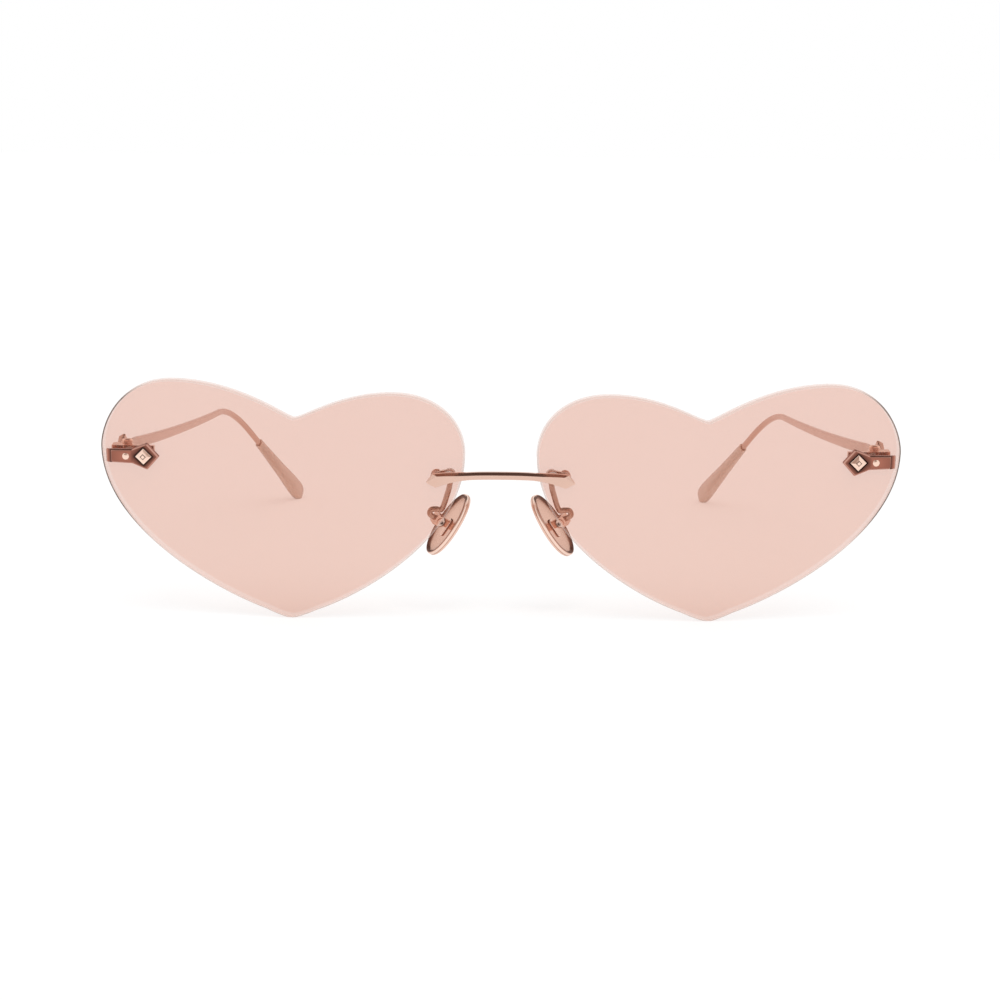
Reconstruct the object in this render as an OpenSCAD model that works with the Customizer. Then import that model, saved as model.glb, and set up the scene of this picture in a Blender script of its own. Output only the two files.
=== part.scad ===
// Rimless heart shaped sunglasses, standing open on the tips of the lenses and of the temples.
// X runs to the wearer's left, Y back along the temples and Z up. The origin is under the middle.
// One side is drawn, and the other is its mirror image.

/* [Lenses] */
// Width of one lens
lens_w = 65.6; // [56:0.1:72]
// Height of one lens
lens_h = 43.9; // [40:0.1:50]
// Thickness of a lens
lens_t = 2; // [1.6:0.1:2.6]
// Narrowest gap between the two lenses
lens_gap = 12.9; // [10:0.1:18]
// Angle that each lens turns back from the straight line across the face
wrap = 4; // [0:0.5:8]
// Angle between the lenses and a square across the temples
tilt = 8.5; // [5:0.5:12]
// How much is ground off the point of a lens so that it stands
lens_foot = 0.12; // [0.05:0.01:0.3]

/* [Lens mounts] */
// Bore drilled through a lens for a mount
hole_d = 1.5; // [1.3:0.05:1.8]
// Wall of the clear sleeve in a lens bore
bush_wall = 0.2; // [0.15:0.01:0.25]
// Diameter of the sleeve's collar and of a washer
collar_d = 2.1; // [1.8:0.1:2.3]
// Thickness of the sleeve's collar and of a washer
collar_t = 0.2; // [0.1:0.05:0.4]
// Height of the outer mounts above the point of the lens
outer_h = 29.9; // [26:0.1:33]
// Distance of the ornament's bore from the lens's outer edge
outer_in = 7.9; // [7:0.1:10]
// Distance from the ornament's bore to the tail screw
outer_step = 3.2; // [3:0.1:4]
// Height of the middle of the bridge above the point of the lens
bridge_h = 27.95; // [25:0.05:31]
// Distance of the first nasal bore from the lens's nasal edge
nasal_in = 2.8; // [2.4:0.1:3.4]
// Distance between the two nasal bores
nasal_step = 2.5; // [2.4:0.1:3.2]
// Diameter of the head of the screw in the ornament's tail
tail_head_d = 1.3; // [1.1:0.05:1.5]
// Diameter of a cap nut
nut_d = 2.1; // [1.8:0.1:2.3]
// Height of a cap nut
nut_h = 1.3; // [1.2:0.1:1.6]

/* [Bridge] */
// Height of the bar
bar_h = 1.5; // [1.2:0.1:2]
// Depth of the bar from its flat back to its ridge
bar_t = 1.5; // [1.2:0.1:2.2]
// How much lower the pointed ends are than the middle
bar_drop = 1.5; // [0.5:0.05:3]
// Height of a pointed end at its widest
gem_h = 2.75; // [2.4:0.05:3.4]
// How far the point of an end stands beyond its outer bore
gem_point = 1.5; // [1.3:0.05:2]
// Distance from the point to where the upper edge starts to slope
gem_top_in = 1.1; // [0.8:0.05:1.4]
// Distance from the point to the end of the ridge
gem_ridge_in = 1.85; // [1.5:0.05:2.2]
// Distance from the point to where the lower edge starts to slope
gem_bottom_in = 1.6; // [1.3:0.05:1.9]

/* [Ornaments] */
// Half diagonal of the diamond on the front and on the temple
diamond_r = 2.45; // [2.2:0.05:2.8]
// How far the front diamond's inner point stands from its bore
diamond_point = 2.8; // [2.6:0.1:3.4]
// Thickness of the front ornament
ornament_t = 0.9; // [0.8:0.05:1.2]
// Length of the front ornament's tail beyond its bore
tail_l = 6.85; // [6.4:0.05:7.1]
// Length of the slope that the tail ends in
tail_slope = 0.85; // [0.5:0.05:1.1]
// Height of the front ornament's tail
tail_h = 2.4; // [2.2:0.1:2.6]
// Half diagonal of the raised stud
stud_r = 1.5; // [1.2:0.05:1.6]
// Height of the raised stud above its seat
stud_h = 0.85; // [0.7:0.05:1]
// Depth of the recess that the stud sits in
recess = 0.4; // [0.3:0.05:0.5]
// Width of the dark groove round the stud
groove = 0.28; // [0.15:0.01:0.4]

/* [Hinges] */
// Distance of the hinge pin from the lens's outer edge
hinge_in = 3.8; // [3.4:0.1:4.6]
// Distance of the hinge pin behind the lens's back
hinge_back = 2.35; // [2.3:0.05:3]
// Diameter of a hinge barrel
barrel_d = 2.2; // [2:0.1:2.4]
// Height of the whole stack of barrels
stack_h = 3; // [2.6:0.1:3.6]
// Height of the temple's own barrel
tongue_h = 0.9; // [0.7:0.05:1.2]
// Thickness of a hinge washer
washer_t = 0.15; // [0.1:0.01:0.2]
// Diameter of the hinge screw
screw_d = 1.2; // [1:0.05:1.3]
// Diameter of a screw's head
head_d = 1.9; // [1.6:0.05:2]
// Height of a screw's head
head_h = 0.4; // [0.3:0.05:0.5]
// Height of the block that carries the hinge
block_h = 2.4; // [2.2:0.1:2.6]
// Thickness of the plate that lies behind the lens
foot_t = 0.9; // [0.7:0.05:1]

/* [Temples] */
// Length of the straight part, from the hinge pin to the bend
blade_l = 96.5; // [85:0.5:105]
// Length of the part that drops behind the ear
drop_l = 44; // [36:0.5:50]
// Angle at which a temple runs inwards from the hinge
splay = 5.3; // [3:0.1:6]
// Further angle at which the drop runs inwards
drop_in = 14.5; // [8:0.5:18]
// Angle at which the drop falls from the line of the blade
drop_down = 32.5; // [26:0.5:40]
// Length over which the bend is rounded, on each side of its corner
bend_l = 12; // [6:1:18]
// Thickness of the front plate
plate_t = 1.2; // [1:0.05:1.5]
// Height of the neck behind the diamond
neck_h = 1.55; // [1.3:0.05:1.9]
// Height of the blade at its shoulder
blade_h = 2.25; // [1.9:0.05:2.8]
// Distance of the shoulder from the hinge pin
shoulder_l = 11.4; // [10.5:0.1:13]
// Thickness of the blade
blade_t = 1.1; // [0.9:0.05:1.4]
// Height of the core at the bend
core_h = 1.3; // [1.1:0.05:1.6]
// Thickness of the core inside the tip
core_t = 0.9; // [0.7:0.05:1.1]
// How far the blade dips below a straight line at mid-length
blade_dip = 0.5; // [0:0.1:1]

/* [Temple tips] */
// Length of the tip's sleeve, as measured along the drop
tip_l = 27; // [22:0.5:32]
// Height of the sleeve at its mouth
tip_mouth_h = 1.9; // [1.8:0.1:2.4]
// Thickness of the sleeve at its mouth
tip_mouth_t = 1.55; // [1.5:0.05:2]
// Height of the paddle at its widest
tip_h = 4.2; // [3.4:0.1:5.5]
// Thickness of the paddle
tip_t = 2.1; // [1.8:0.1:2.8]
// Play between the core and its socket, on each side
tip_play = 0.05; // [0.03:0.01:0.08]
// How much is cut off the underside so that the tip stands flat
tip_foot = 0.3; // [0.1:0.05:0.5]

/* [Nose pads] */
// Length of a pad
pad_l = 13.2; // [11:0.1:15]
// Width of a pad
pad_w = 7; // [6:0.1:8]
// Thickness of a pad
pad_t = 1.3; // [1.2:0.05:1.6]
// Width of the pad's raised rim
pad_rim = 0.7; // [0.5:0.05:1]
// Depth of the dish behind the rim
pad_dish = 0.5; // [0.3:0.05:0.6]
// Distance of a pad's middle from the centre plane
pad_x = 9.5; // [8.8:0.1:11]
// Distance of a pad's middle behind the front of the lens
pad_y = 10.6; // [9.8:0.1:12]
// Height of a pad's middle above the point of the lens
pad_z = 15.6; // [14:0.1:17]
// Angle at which the two pads spread towards the chin
pad_lean = 33; // [28:0.5:36]
// Angle at which the two pads spread towards the face
pad_splay = 21; // [16:0.5:26]
// Distance of the pad's pivot from the middle of its thickness
pivot_out = 2.1; // [2:0.05:2.4]
// Outer width of the pad's box
box_w = 2; // [1.8:0.05:2.4]
// Height of the pad's box
box_h = 2; // [1.8:0.05:2.2]
// Thickness of the box's walls
box_wall = 0.5; // [0.4:0.05:0.6]
// Wall of the pad's lug round its screw
lug_wall = 0.25; // [0.2:0.05:0.35]
// Diameter of the pad screw
pad_screw_d = 0.8; // [0.7:0.05:0.9]
// Diameter of the wire arm
arm_d = 1.1; // [0.9:0.05:1.2]
// How far the arm's loop stands outside the pad's box
arm_loop = 1.25; // [1.1:0.05:1.6]

/* [Hidden] */
$fn = 48;

ROSE_GOLD = [0.84, 0.60, 0.51];
PALE_GOLD = [0.94, 0.78, 0.70];
LENS_TINT = [0.93, 0.80, 0.75, 0.6];
CLEAR = [0.95, 0.93, 0.92];
BLUSH = [0.90, 0.66, 0.56];

// Radial play of a part that turns on a screw, and of a screw in its bore
play = 0.03;
// Play between flat faces that pass each other
gap = 0.025;
// Distance kept between a barrel and what swings past it
swing_gap = 0.1;
// Length by which every cut runs past the solid
over = 1;
// Side of a block large enough to cut away all that lies under the table
under = 400;

// The heart, as shares of the lens's width and height from its nasal edge and its point.
// Each row is a point, the handle that leads into it and the handle that leads out of it.
heart_shares = [
    [[0.482, 0], [-0.012, 0], [0.012, 0]],
    [[0.550, 0.036], [-0.030, -0.022], [0.155, 0.084]],
    [[1, 0.713], [0, -0.340], [0, 0.090]],
    [[0.799, 1], [0.150, 0], [-0.180, 0]],
    [[0.468, 0.851], [0.020, 0], [-0.025, 0]],
    [[0.194, 0.962], [0.145, 0], [-0.122, 0]],
    [[0, 0.713], [0, 0.135], [0, -0.350]],
    [[0.412, 0.036], [-0.130, 0.072], [0.030, -0.022]]
];
// Straight pieces that each stretch of the heart is drawn with
heart_steps = 10;

// The bridge from its middle to where its pointed end begins. Each row has the share of the way
// along, the share by which the height grows from the bar's to the gem's, the depth as a share
// of the bar's, and the ridge's place above the middle line as a share of half the height.
bridge_shares = [
    [0, 0, 1, 0.04],
    [0.25, 0, 1, 0.04],
    [0.50, 0, 1, 0.06],
    [0.66, 0.16, 1.02, 0.16],
    [0.82, 0.55, 1.06, 0.38],
    [1, 1, 1.1, 0.64]
];
// Depth and half height left at the very point of an end, as shares
gem_depth_share = 0.45;
gem_tip_share = 0.12;
// Share of the bar's height that is a flat face along its back
bar_back_share = 0.8;
// Share of the bar's depth at which its edges lie
bar_edge_share = 0.42;
// How late the bar starts to fall towards its ends, as a power of the share of its half length
bar_curve = 3;

// The straight part of the wire arm, as shares of the way across, back and down to its box
arm_shares = [
    [0, 0, 0],
    [0.03, 0.16, 0.20],
    [0.20, 0.52, 0.46]
];
// The bend over the box, as shares of the loop outwards, back and up from the arm's end
loop_shares = [
    [0.08, -0.64, 2.24],
    [0.60, -0.24, 1.52],
    [1.12, 0, 0.92],
    [0.88, 0, 0.20]
];
// How far under the bore the wire starts, as a share of its plate's height
arm_seat_share = 0.25;
// Rings along each stretch of the arm, and sides of its wire
arm_steps = 5;
arm_sides = 10;

// The side of a temple ahead of its shoulder. Each row has the share of the shoulder's
// distance, then the shares of the block's, the diamond's and the neck's half height.
plate_shares = [
    [0.16, 1, 0, 0],
    [0.28, 0, 1, 0],
    [0.47, 0, 0, 1],
    [0.72, 0, 0, 1]
];
// The tip's sleeve from its mouth to its end. Each row has the share of its length,
// the share of the way from mouth size to paddle size, and the share of that size.
tip_shares = [
    [0, 0, 0.92],
    [0.02, 0, 1],
    [0.25, 0.22, 1],
    [0.50, 0.52, 1],
    [0.72, 0.86, 1],
    [0.86, 1, 1],
    [0.93, 1, 0.93],
    [0.975, 1, 0.74],
    [1, 1, 0.40]
];
// Share of the sleeve's length that the core reaches into it
core_reach_share = 0.82;
// Rings round the bend, rings along the blade and points round each ring
bend_steps = 9;
blade_steps = 8;
ring_points = 12;
// Sides of a pad's outline, and the share by which it narrows towards its top
pad_sides = 32;
pad_taper_share = 0.08;
// Diameter of the pad screw's head as a share of the box, and the widths of screw slots
pad_head_share = 0.85;
slot_share = 0.4;
// Places of the front ornament's corners as shares of the diamond's half height
ornament_top_share = 0.25;
ornament_neck_share = 0.85;
// Height of the tail where the diamond runs into it, as a share of the tail's height
ornament_swell_share = 1.1;
// Thickness left at the end of the tail's slope, as a share
tail_end_share = 0.35;
// Size of the flat top of a stud, as a share of its half diagonal
stud_top_share = 0.25;
// How square a ring is: 2 is an ellipse and more is closer to a rectangle
ring_square = 3.4;
// Share of the mouth that the core keeps at its end
core_taper_share = 0.7;

// Places in the lens's own frame: across from the nasal edge, back from the front, up
outer_x = lens_w - outer_in;
tail_x = outer_x + outer_step;
nasal_x = nasal_in + nasal_step;
post_d = hole_d - 2 * bush_wall - 2 * play;
// Depth of a cap nut's bore, which is also where its dome begins, and the dome's facets
nut_bore = nut_h / 2;
dome_step = 15;
// Height of the head of a small screw
small_head_h = head_h / 2;
pad_head_h = box_wall / 2;
back_y = lens_t + collar_t;
foot_y = back_y + foot_t;
front_y = -collar_t;

// Half the length of the bridge, to the point of its end
bridge_half = lens_gap / 2 + nasal_x * cos(wrap) + gem_point;

// The hinge pin in the front's frame
hinge_y = lens_t + hinge_back;
hinge_pos = lens_to_front([lens_w - hinge_in, hinge_y, outer_h]);
plate_x = barrel_d / 2 + swing_gap;
washer_z = tongue_h / 2 + gap;
ear_z = washer_z + washer_t + gap;
diamond_y = shoulder_l * plate_shares[1][0];

// The pad's pivot, and the arm's two ends, in the front's frame
pad_pos = [pad_x, pad_y, pad_z];
lug_d = pad_screw_d + 2 * play + 2 * lug_wall;
web_in = pivot_out + lug_d / 2 + swing_gap;
web_out = web_in + box_wall;
arm_end = pad_pos + pad_turn([web_out, 0, 0]);
arm_start = lens_to_front([nasal_in, back_y + arm_d / 2, nasal_z(nasal_in) - bar_h * arm_seat_share]);

// The temple's centre line behind its shoulder, in the hinge's frame
blade_x = plate_x + plate_t / 2;
corner = [blade_x, blade_l, 0];
drop_dir = [-sin(drop_in) * cos(drop_down), cos(drop_in) * cos(drop_down), -sin(drop_down)];
bend_start = corner - [0, bend_l, 0];
bend_end = corner + drop_dir * bend_l;
mouth_l = drop_l - tip_l;
core_end_l = mouth_l + tip_l * core_reach_share;

// How far the whole model leans so that lens points and temple tips both reach the table
lens_point = lens_to_front([heart_shares[0][0][0] * lens_w, 0, lens_foot]);
first_lean = lean_to(hinge_to_front(drop_at(drop_l)));
sole = low_point(first_lean) + [0, 0, tip_foot];
lean = lean_to(sole);
drop_z = -lean_over(lens_point)[2];
far_y = max([for (p = tip_skin()) lean_over(hinge_to_front(p))[1]]);
near_y = lean_over([0, bar_back(0) - bar_t, bridge_h])[1];
middle_y = (far_y + near_y) / 2;

function lens_to_front(p) = [
    lens_gap / 2 + p[0] * cos(wrap) - p[1] * sin(wrap),
    p[0] * sin(wrap) + p[1] * cos(wrap),
    p[2]
];
function hinge_to_front(p) =
    let (
        x = p[0] * cos(splay) - p[1] * sin(splay),
        y = p[0] * sin(splay) + p[1] * cos(splay)
    )
    hinge_pos + [x, y * cos(tilt) + p[2] * sin(tilt), p[2] * cos(tilt) - y * sin(tilt)];
function lean_over(p) = [
    p[0],
    p[1] * cos(lean) - p[2] * sin(lean),
    p[1] * sin(lean) + p[2] * cos(lean)
];
function pad_turn(p) =
    let (
        x = p[0] * cos(pad_splay) + p[1] * sin(pad_splay),
        y = p[1] * cos(pad_splay) - p[0] * sin(pad_splay)
    )
    [x * cos(pad_lean) - p[2] * sin(pad_lean), y, x * sin(pad_lean) + p[2] * cos(pad_lean)];
// Height of the bridge's line at a share of the way along, and over a place on the lens
function bar_z(share) = bridge_h - bar_drop * pow(share, bar_curve);
function nasal_z(x) = bar_z((lens_gap / 2 + x * cos(wrap)) / bridge_half);
// Where the bridge's flat back stands, so that it lies along the washers
function bar_back(x) = max(0, x - lens_gap / 2) * tan(wrap) - collar_t / cos(wrap);

function mix(a, b, t) = a + (b - a) * t;
function unit(v) = v / norm(v);
function bezier(a, b, c, d, t) =
    a * pow(1 - t, 3) + b * 3 * t * pow(1 - t, 2) + c * 3 * t * t * (1 - t) + d * pow(t, 3);
// The point at share t between b and c on a smooth curve through a, b, c and d
function spline(a, b, c, d, t) = bezier(b, b + (c - a) / 6, c - (d - b) / 6, c, t);

// Closed outline of the heart, in shares
function heart_outline() = [
    for (i = [0 : len(heart_shares) - 1])
        let (a = heart_shares[i], b = heart_shares[(i + 1) % len(heart_shares)])
            for (k = [0 : heart_steps - 1])
                bezier(a[0], a[0] + a[2], b[0] + b[1], b[0], k / heart_steps)
];

// Rounded box with half sizes a and b, as points round a ring
function ring(a, b) = [
    for (i = [0 : ring_points - 1])
        let (t = 360 * (i + 0.5) / ring_points)
            [a * squared(cos(t)), b * squared(sin(t))]
];
function squared(c) = sign(c) * pow(abs(c), 2 / ring_square);
// A flat ring stood on a path at point p, square to direction d, its second axis upright
function stand_ring(r, p, d) =
    let (side = unit([d[1], -d[0], 0]), up = cross(side, d))
    [for (q = r) p + side * q[0] - up * q[1]];
// Closed surface through rings that all have as many points
module skin(rings) {
    n = len(rings[0]);
    m = len(rings);
    polyhedron(
        points = [for (r = rings) for (p = r) p],
        faces = concat(
            [[for (i = [0 : n - 1]) i]],
            [for (j = [0 : m - 2]) for (i = [0 : n - 1]) let (k = (i + 1) % n)
                [j * n + k, j * n + i, (j + 1) * n + i]],
            [for (j = [0 : m - 2]) for (i = [0 : n - 1]) let (k = (i + 1) % n)
                [j * n + k, (j + 1) * n + i, (j + 1) * n + k]],
            [[for (i = [0 : n - 1]) m * n - 1 - i]]
        ),
        convexity = 6
    );
}

// Points and directions along a temple behind its shoulder
function bend_at(t) = bend_start * pow(1 - t, 2) + corner * 2 * t * (1 - t) + bend_end * t * t;
function bend_dir(t) = unit(mix([0, 1, 0], drop_dir, t));
function blade_at(t) =
    [blade_x, mix(shoulder_l, bend_start[1], t), -blade_dip * 4 * t * (1 - t)];
function drop_at(l) = corner + drop_dir * l;

function core_rings() = concat(
    [for (t = [0 : 1 / blade_steps : 1])
        let (r = ring(mix(blade_t, core_t, t * t) / 2, mix(blade_h, core_h, t) / 2))
            stand_ring(r, blade_at(t), [0, 1, 0])],
    [for (t = [1 / bend_steps : 1 / bend_steps : 1])
        stand_ring(ring(core_t / 2, core_h / 2), bend_at(t), bend_dir(t))],
    [stand_ring(ring(core_t / 2, core_h / 2), drop_at(mouth_l), drop_dir)],
    [let (s = core_taper_share)
        stand_ring(ring(core_t / 2 * s, core_h / 2 * s), drop_at(core_end_l), drop_dir)]
);
// The sleeve: its socket from the bottom to the mouth, then its outside from the mouth to the end
function tip_socket() = [
    for (l = [core_end_l + tip_play, mouth_l])
        let (s = l > mouth_l ? core_taper_share : 1)
            stand_ring(ring(core_t / 2 * s + tip_play, core_h / 2 * s + tip_play), drop_at(l), drop_dir)
];
function tip_outside() = [
    for (r = tip_shares)
        stand_ring(
            ring(mix(tip_mouth_t, tip_t, r[1]) / 2 * r[2], mix(tip_mouth_h, tip_h, r[1]) / 2 * r[2]),
            drop_at(mouth_l + tip_l * r[0]),
            drop_dir
        )
];
function tip_skin() = [for (r = tip_outside()) for (p = r) p];
// The lean that sets point p at the height of the lens's point
function lean_to(p) = -atan2(p[2] - lens_point[2], p[1] - lens_point[1]);
// The lowest point of the tip, in the front's frame, when the model leans by angle a
function low_point(a) =
    let (
        points = [for (p = tip_skin()) hinge_to_front(p)],
        heights = [for (p = points) p[1] * sin(a) + p[2] * cos(a)]
    )
    points[search(min(heights), heights)[0]];

// Wire arm: control points, then a smooth curve through them
function arm_points() =
    let (way = arm_end - arm_start)
    concat(
        [for (s = arm_shares) arm_start + [way[0] * s[0], way[1] * s[1], way[2] * s[2]]],
        [for (s = loop_shares) arm_end + pad_turn(arm_loop * s)],
        [arm_end]
    );
function arm_curve() =
    let (p = arm_points(), n = len(p))
    concat(
        [for (i = [0 : n - 2])
            let (before = p[max(i - 1, 0)], after = i + 2 < n ? p[i + 2] : arm_end - pad_turn([arm_loop, 0, 0]))
                for (k = [0 : arm_steps - 1])
                    spline(before, p[i], p[i + 1], after, k / arm_steps)],
        [arm_end]
    );

// The whole model, set down on the table
module stand() {
    translate([0, -middle_y, drop_z])
        rotate([lean, 0, 0])
            children();
}
// The wearer's left is drawn, and the right is its mirror image
module on_side(left) {
    stand()
        mirror([left ? 0 : 1, 0, 0])
            children();
}
module at_lens() {
    translate([lens_gap / 2, 0, 0])
        rotate([0, 0, wrap])
            children();
}
module at_hinge() {
    translate(hinge_pos)
        rotate([-tilt, 0, 0])
            rotate([0, 0, splay])
                children();
}
module at_pad() {
    translate(pad_pos)
        rotate([0, -pad_lean, 0])
            rotate([0, 0, -pad_splay])
                children();
}
// A round bar that runs straight back from the front of the lens, at a place on it
module round_back(d, from, to) {
    translate([0, from, 0])
        rotate([-90, 0, 0])
            cylinder(d = d, h = to - from);
}
// Places of the four bores of a lens
module at_bores() {
    for (x = [outer_x, tail_x])
        translate([x, 0, outer_h])
            children();
    for (x = [nasal_in, nasal_x])
        translate([x, 0, nasal_z(x)])
            children();
}
// All that lies under the table
module table() {
    translate([-under / 2, -under / 2, -under])
        cube([under, under, under]);
}
module off_the_table() {
    difference() {
        children();
        table();
    }
}
// A square prism on its corner, with its flat faces square to Y
module diamond_prism(r, h) {
    rotate([90, 0, 0])
        cylinder(r = r, h = h, $fn = 4);
}
// The raised stud, its point towards -Y
module stud() {
    base = stud_h - recess;
    diamond_prism(stud_r, base);
    translate([0, -base, 0])
        rotate([90, 0, 0])
            cylinder(r1 = stud_r, r2 = stud_r * stud_top_share, h = stud_h - base, $fn = 4);
}

module lens(left) {
    color(LENS_TINT)
        off_the_table()
            on_side(left)
                at_lens()
                    difference() {
                        rotate([90, 0, 0])
                            translate([0, 0, -lens_t])
                                linear_extrude(lens_t)
                                    scale([lens_w, lens_h])
                                        polygon(heart_outline());
                        at_bores()
                            round_back(hole_d, -over, lens_t + over);
                    }
}

// One section of the bridge: flat back, two edges and a ridge in front. The five corners are at
// distances x from the middle, and each is given by shares of the depth and of half the height.
function bar_ring(side, x, half, depth, ridge) =
    let (
        deep = [0, bar_edge_share, 1, bar_edge_share, 0],
        high = [bar_back_share, 1, ridge, -1, -bar_back_share]
    )
    [for (i = [0 : 4])
        [side * x[i], bar_back(x[i]) - depth * deep[i], bar_z(x[i] / bridge_half) + half * high[i]]];
function bar_section(side, row) =
    bar_ring(
        side,
        [for (inset = [gem_top_in, gem_top_in, gem_ridge_in, gem_bottom_in, gem_bottom_in])
            (bridge_half - inset) * row[0]],
        mix(bar_h, gem_h, row[1]) / 2,
        bar_t * row[2],
        row[3]
    );
function bar_tip(side) =
    let (x = bridge_half)
    bar_ring(side, [x, x, x, x, x], gem_h / 2 * gem_tip_share, bar_t * gem_depth_share, 0);

module bridge() {
    last = len(bridge_shares) - 1;
    color(ROSE_GOLD)
        stand() {
            skin(concat(
                [bar_tip(-1)],
                [for (i = [last : -1 : 1]) bar_section(-1, bridge_shares[i])],
                [for (row = bridge_shares) bar_section(1, row)],
                [bar_tip(1)]
            ));
            for (side = [0, 1])
                mirror([side, 0, 0])
                    at_lens() {
                        translate([nasal_in, 0, nasal_z(nasal_in)])
                            round_back(post_d, -bar_t * bar_edge_share, foot_y);
                        translate([nasal_x, 0, nasal_z(nasal_x)])
                            round_back(post_d, -bar_t * bar_edge_share, foot_y + nut_bore);
                    }
        }
}

// Clear sleeves through all eight bores, with a collar behind the lens
module lens_bushes() {
    color(CLEAR)
        for (left = [true, false])
            on_side(left)
                at_lens()
                    at_bores()
                        difference() {
                            union() {
                                round_back(hole_d - 2 * play, 0, lens_t + collar_t / 2);
                                round_back(collar_d, lens_t, back_y);
                            }
                            round_back(post_d + 2 * play, -over, back_y + over);
                        }
}
// Clear washers between the lenses and what lies on their front
module lens_washers() {
    color(CLEAR)
        for (left = [true, false])
            on_side(left)
                at_lens()
                    at_bores()
                        difference() {
                            round_back(collar_d, front_y, 0);
                            round_back(post_d + 2 * play, front_y - over, over);
                        }
}
// Domed nuts on the ornament's post and on the bridge's outer post, behind the plates
module cap_nuts() {
    color(ROSE_GOLD)
        for (left = [true, false])
            on_side(left)
                at_lens()
                    for (place = [[outer_x, outer_h], [nasal_x, nasal_z(nasal_x)]])
                        translate([place[0], foot_y, place[1]])
                            rotate([-90, 0, 0])
                                difference() {
                                    rotate_extrude()
                                        polygon([
                                            [0, 0],
                                            [nut_d / 2, 0],
                                            [nut_d / 2, nut_bore],
                                            for (t = [dome_step : dome_step : 90])
                                                [nut_d / 2 * cos(t), nut_bore + (nut_h - nut_bore) * sin(t)]
                                        ]);
                                    translate([0, 0, -over])
                                        cylinder(d = post_d + 2 * play, h = over + nut_bore + play);
                                }
}
// Small screws through the ornament's tail into the plate behind the lens
module mount_screws() {
    color(PALE_GOLD)
        for (left = [true, false])
            on_side(left)
                at_lens()
                    translate([tail_x, 0, outer_h]) {
                        round_back(post_d, front_y - ornament_t, foot_y);
                        round_back(tail_head_d, front_y - ornament_t - small_head_h, front_y - ornament_t);
                    }
}

// A wire arm with the plate that is held behind the lens by the bridge's two posts
module pad_arm(left) {
    curve = arm_curve();
    n = len(curve);
    fall = nasal_z(nasal_in) - nasal_z(nasal_x);
    color(ROSE_GOLD)
        on_side(left)
            difference() {
                union() {
                    skin([
                        for (i = [0 : n - 2]) wire_ring(curve[i], curve[i + 1] - curve[max(i - 1, 0)]),
                        wire_ring(curve[n - 1], pad_turn([-1, 0, 0]))
                    ]);
                    at_lens() {
                        for (x = [nasal_in, nasal_x])
                            translate([x, 0, nasal_z(x)])
                                round_back(bar_h, back_y, foot_y);
                        translate([nasal_in, back_y, nasal_z(nasal_in)])
                            rotate([0, atan2(fall, nasal_step), 0])
                                translate([0, 0, -bar_h / 2])
                                    cube([norm([nasal_step, fall]), foot_t, bar_h]);
                    }
                }
                at_lens()
                    for (x = [nasal_in, nasal_x])
                        translate([x, 0, nasal_z(x)])
                            round_back(post_d + 2 * play, back_y - over, foot_y + over);
            }
}
// A round section of the wire at point p, square to the way d that it runs
function wire_ring(p, d) =
    let (side = unit(cross(d, [0, 1, 0])), up = cross(side, unit(d)))
    [for (i = [0 : arm_sides - 1])
        let (t = 360 * i / arm_sides)
            p + (side * cos(t) - up * sin(t)) * arm_d / 2];

// The box on the end of the arm: two cheeks and a web, bored for the pad's screw
module pad_box(left) {
    color(ROSE_GOLD)
        on_side(left)
            at_pad()
                difference() {
                    union() {
                        translate([pivot_out, 0, 0])
                            round_back(box_h, -box_w / 2, box_w / 2);
                        translate([pivot_out, -box_w / 2, -box_h / 2])
                            cube([web_out - pivot_out, box_w, box_h]);
                    }
                    translate([-over, -box_w / 2 + box_wall, -box_h / 2 - over])
                        cube([over + web_in, box_w - 2 * box_wall, box_h + 2 * over]);
                    translate([pivot_out, 0, 0])
                        round_back(pad_screw_d + 2 * play, -box_w / 2 - over, box_w / 2 + over);
                }
}
// The screws that the pads rock on
module pad_screws() {
    color(PALE_GOLD)
        for (left = [true, false])
            on_side(left)
                at_pad()
                    translate([pivot_out, 0, 0]) {
                        round_back(pad_screw_d, -box_w / 2, box_w / 2);
                        translate([0, -box_w / 2, 0])
                            difference() {
                                round_back(box_h * pad_head_share, -pad_head_h, 0);
                                round_back(pad_screw_d * slot_share, -over, -pad_head_h / 2);
                            }
                    }
}
// Outline of a pad: wider towards its lower end
function pad_outline(trim) = [
    for (i = [0 : pad_sides - 1])
        let (t = 360 * i / pad_sides, r = 1 - pad_taper_share * sin(t))
            [(pad_w / 2 - trim) * cos(t) * r, (pad_l / 2 - trim) * sin(t)]
];
module pad_slab(trim, from, to) {
    translate([from, 0, 0])
        rotate([90, 0, 90])
            linear_extrude(to - from)
                polygon(pad_outline(trim));
}
// A metal nose pad: a thin dish with a rim, and the lug that hangs on the screw
module nose_pad(left) {
    lug_w = box_w - 2 * box_wall - 2 * gap;
    color(ROSE_GOLD)
        on_side(left)
            at_pad()
                difference() {
                    union() {
                        difference() {
                            pad_slab(0, -pad_t / 2, pad_t / 2);
                            pad_slab(pad_rim, pad_t / 2 - pad_dish, pad_t / 2 + over);
                        }
                        translate([0, -lug_w / 2, -lug_d / 2])
                            cube([pivot_out, lug_w, lug_d]);
                        translate([pivot_out, 0, 0])
                            round_back(lug_d, -lug_w / 2, lug_w / 2);
                    }
                    translate([pivot_out, 0, 0])
                        round_back(pad_screw_d + 2 * play, -box_w, box_w);
                }
}

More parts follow.
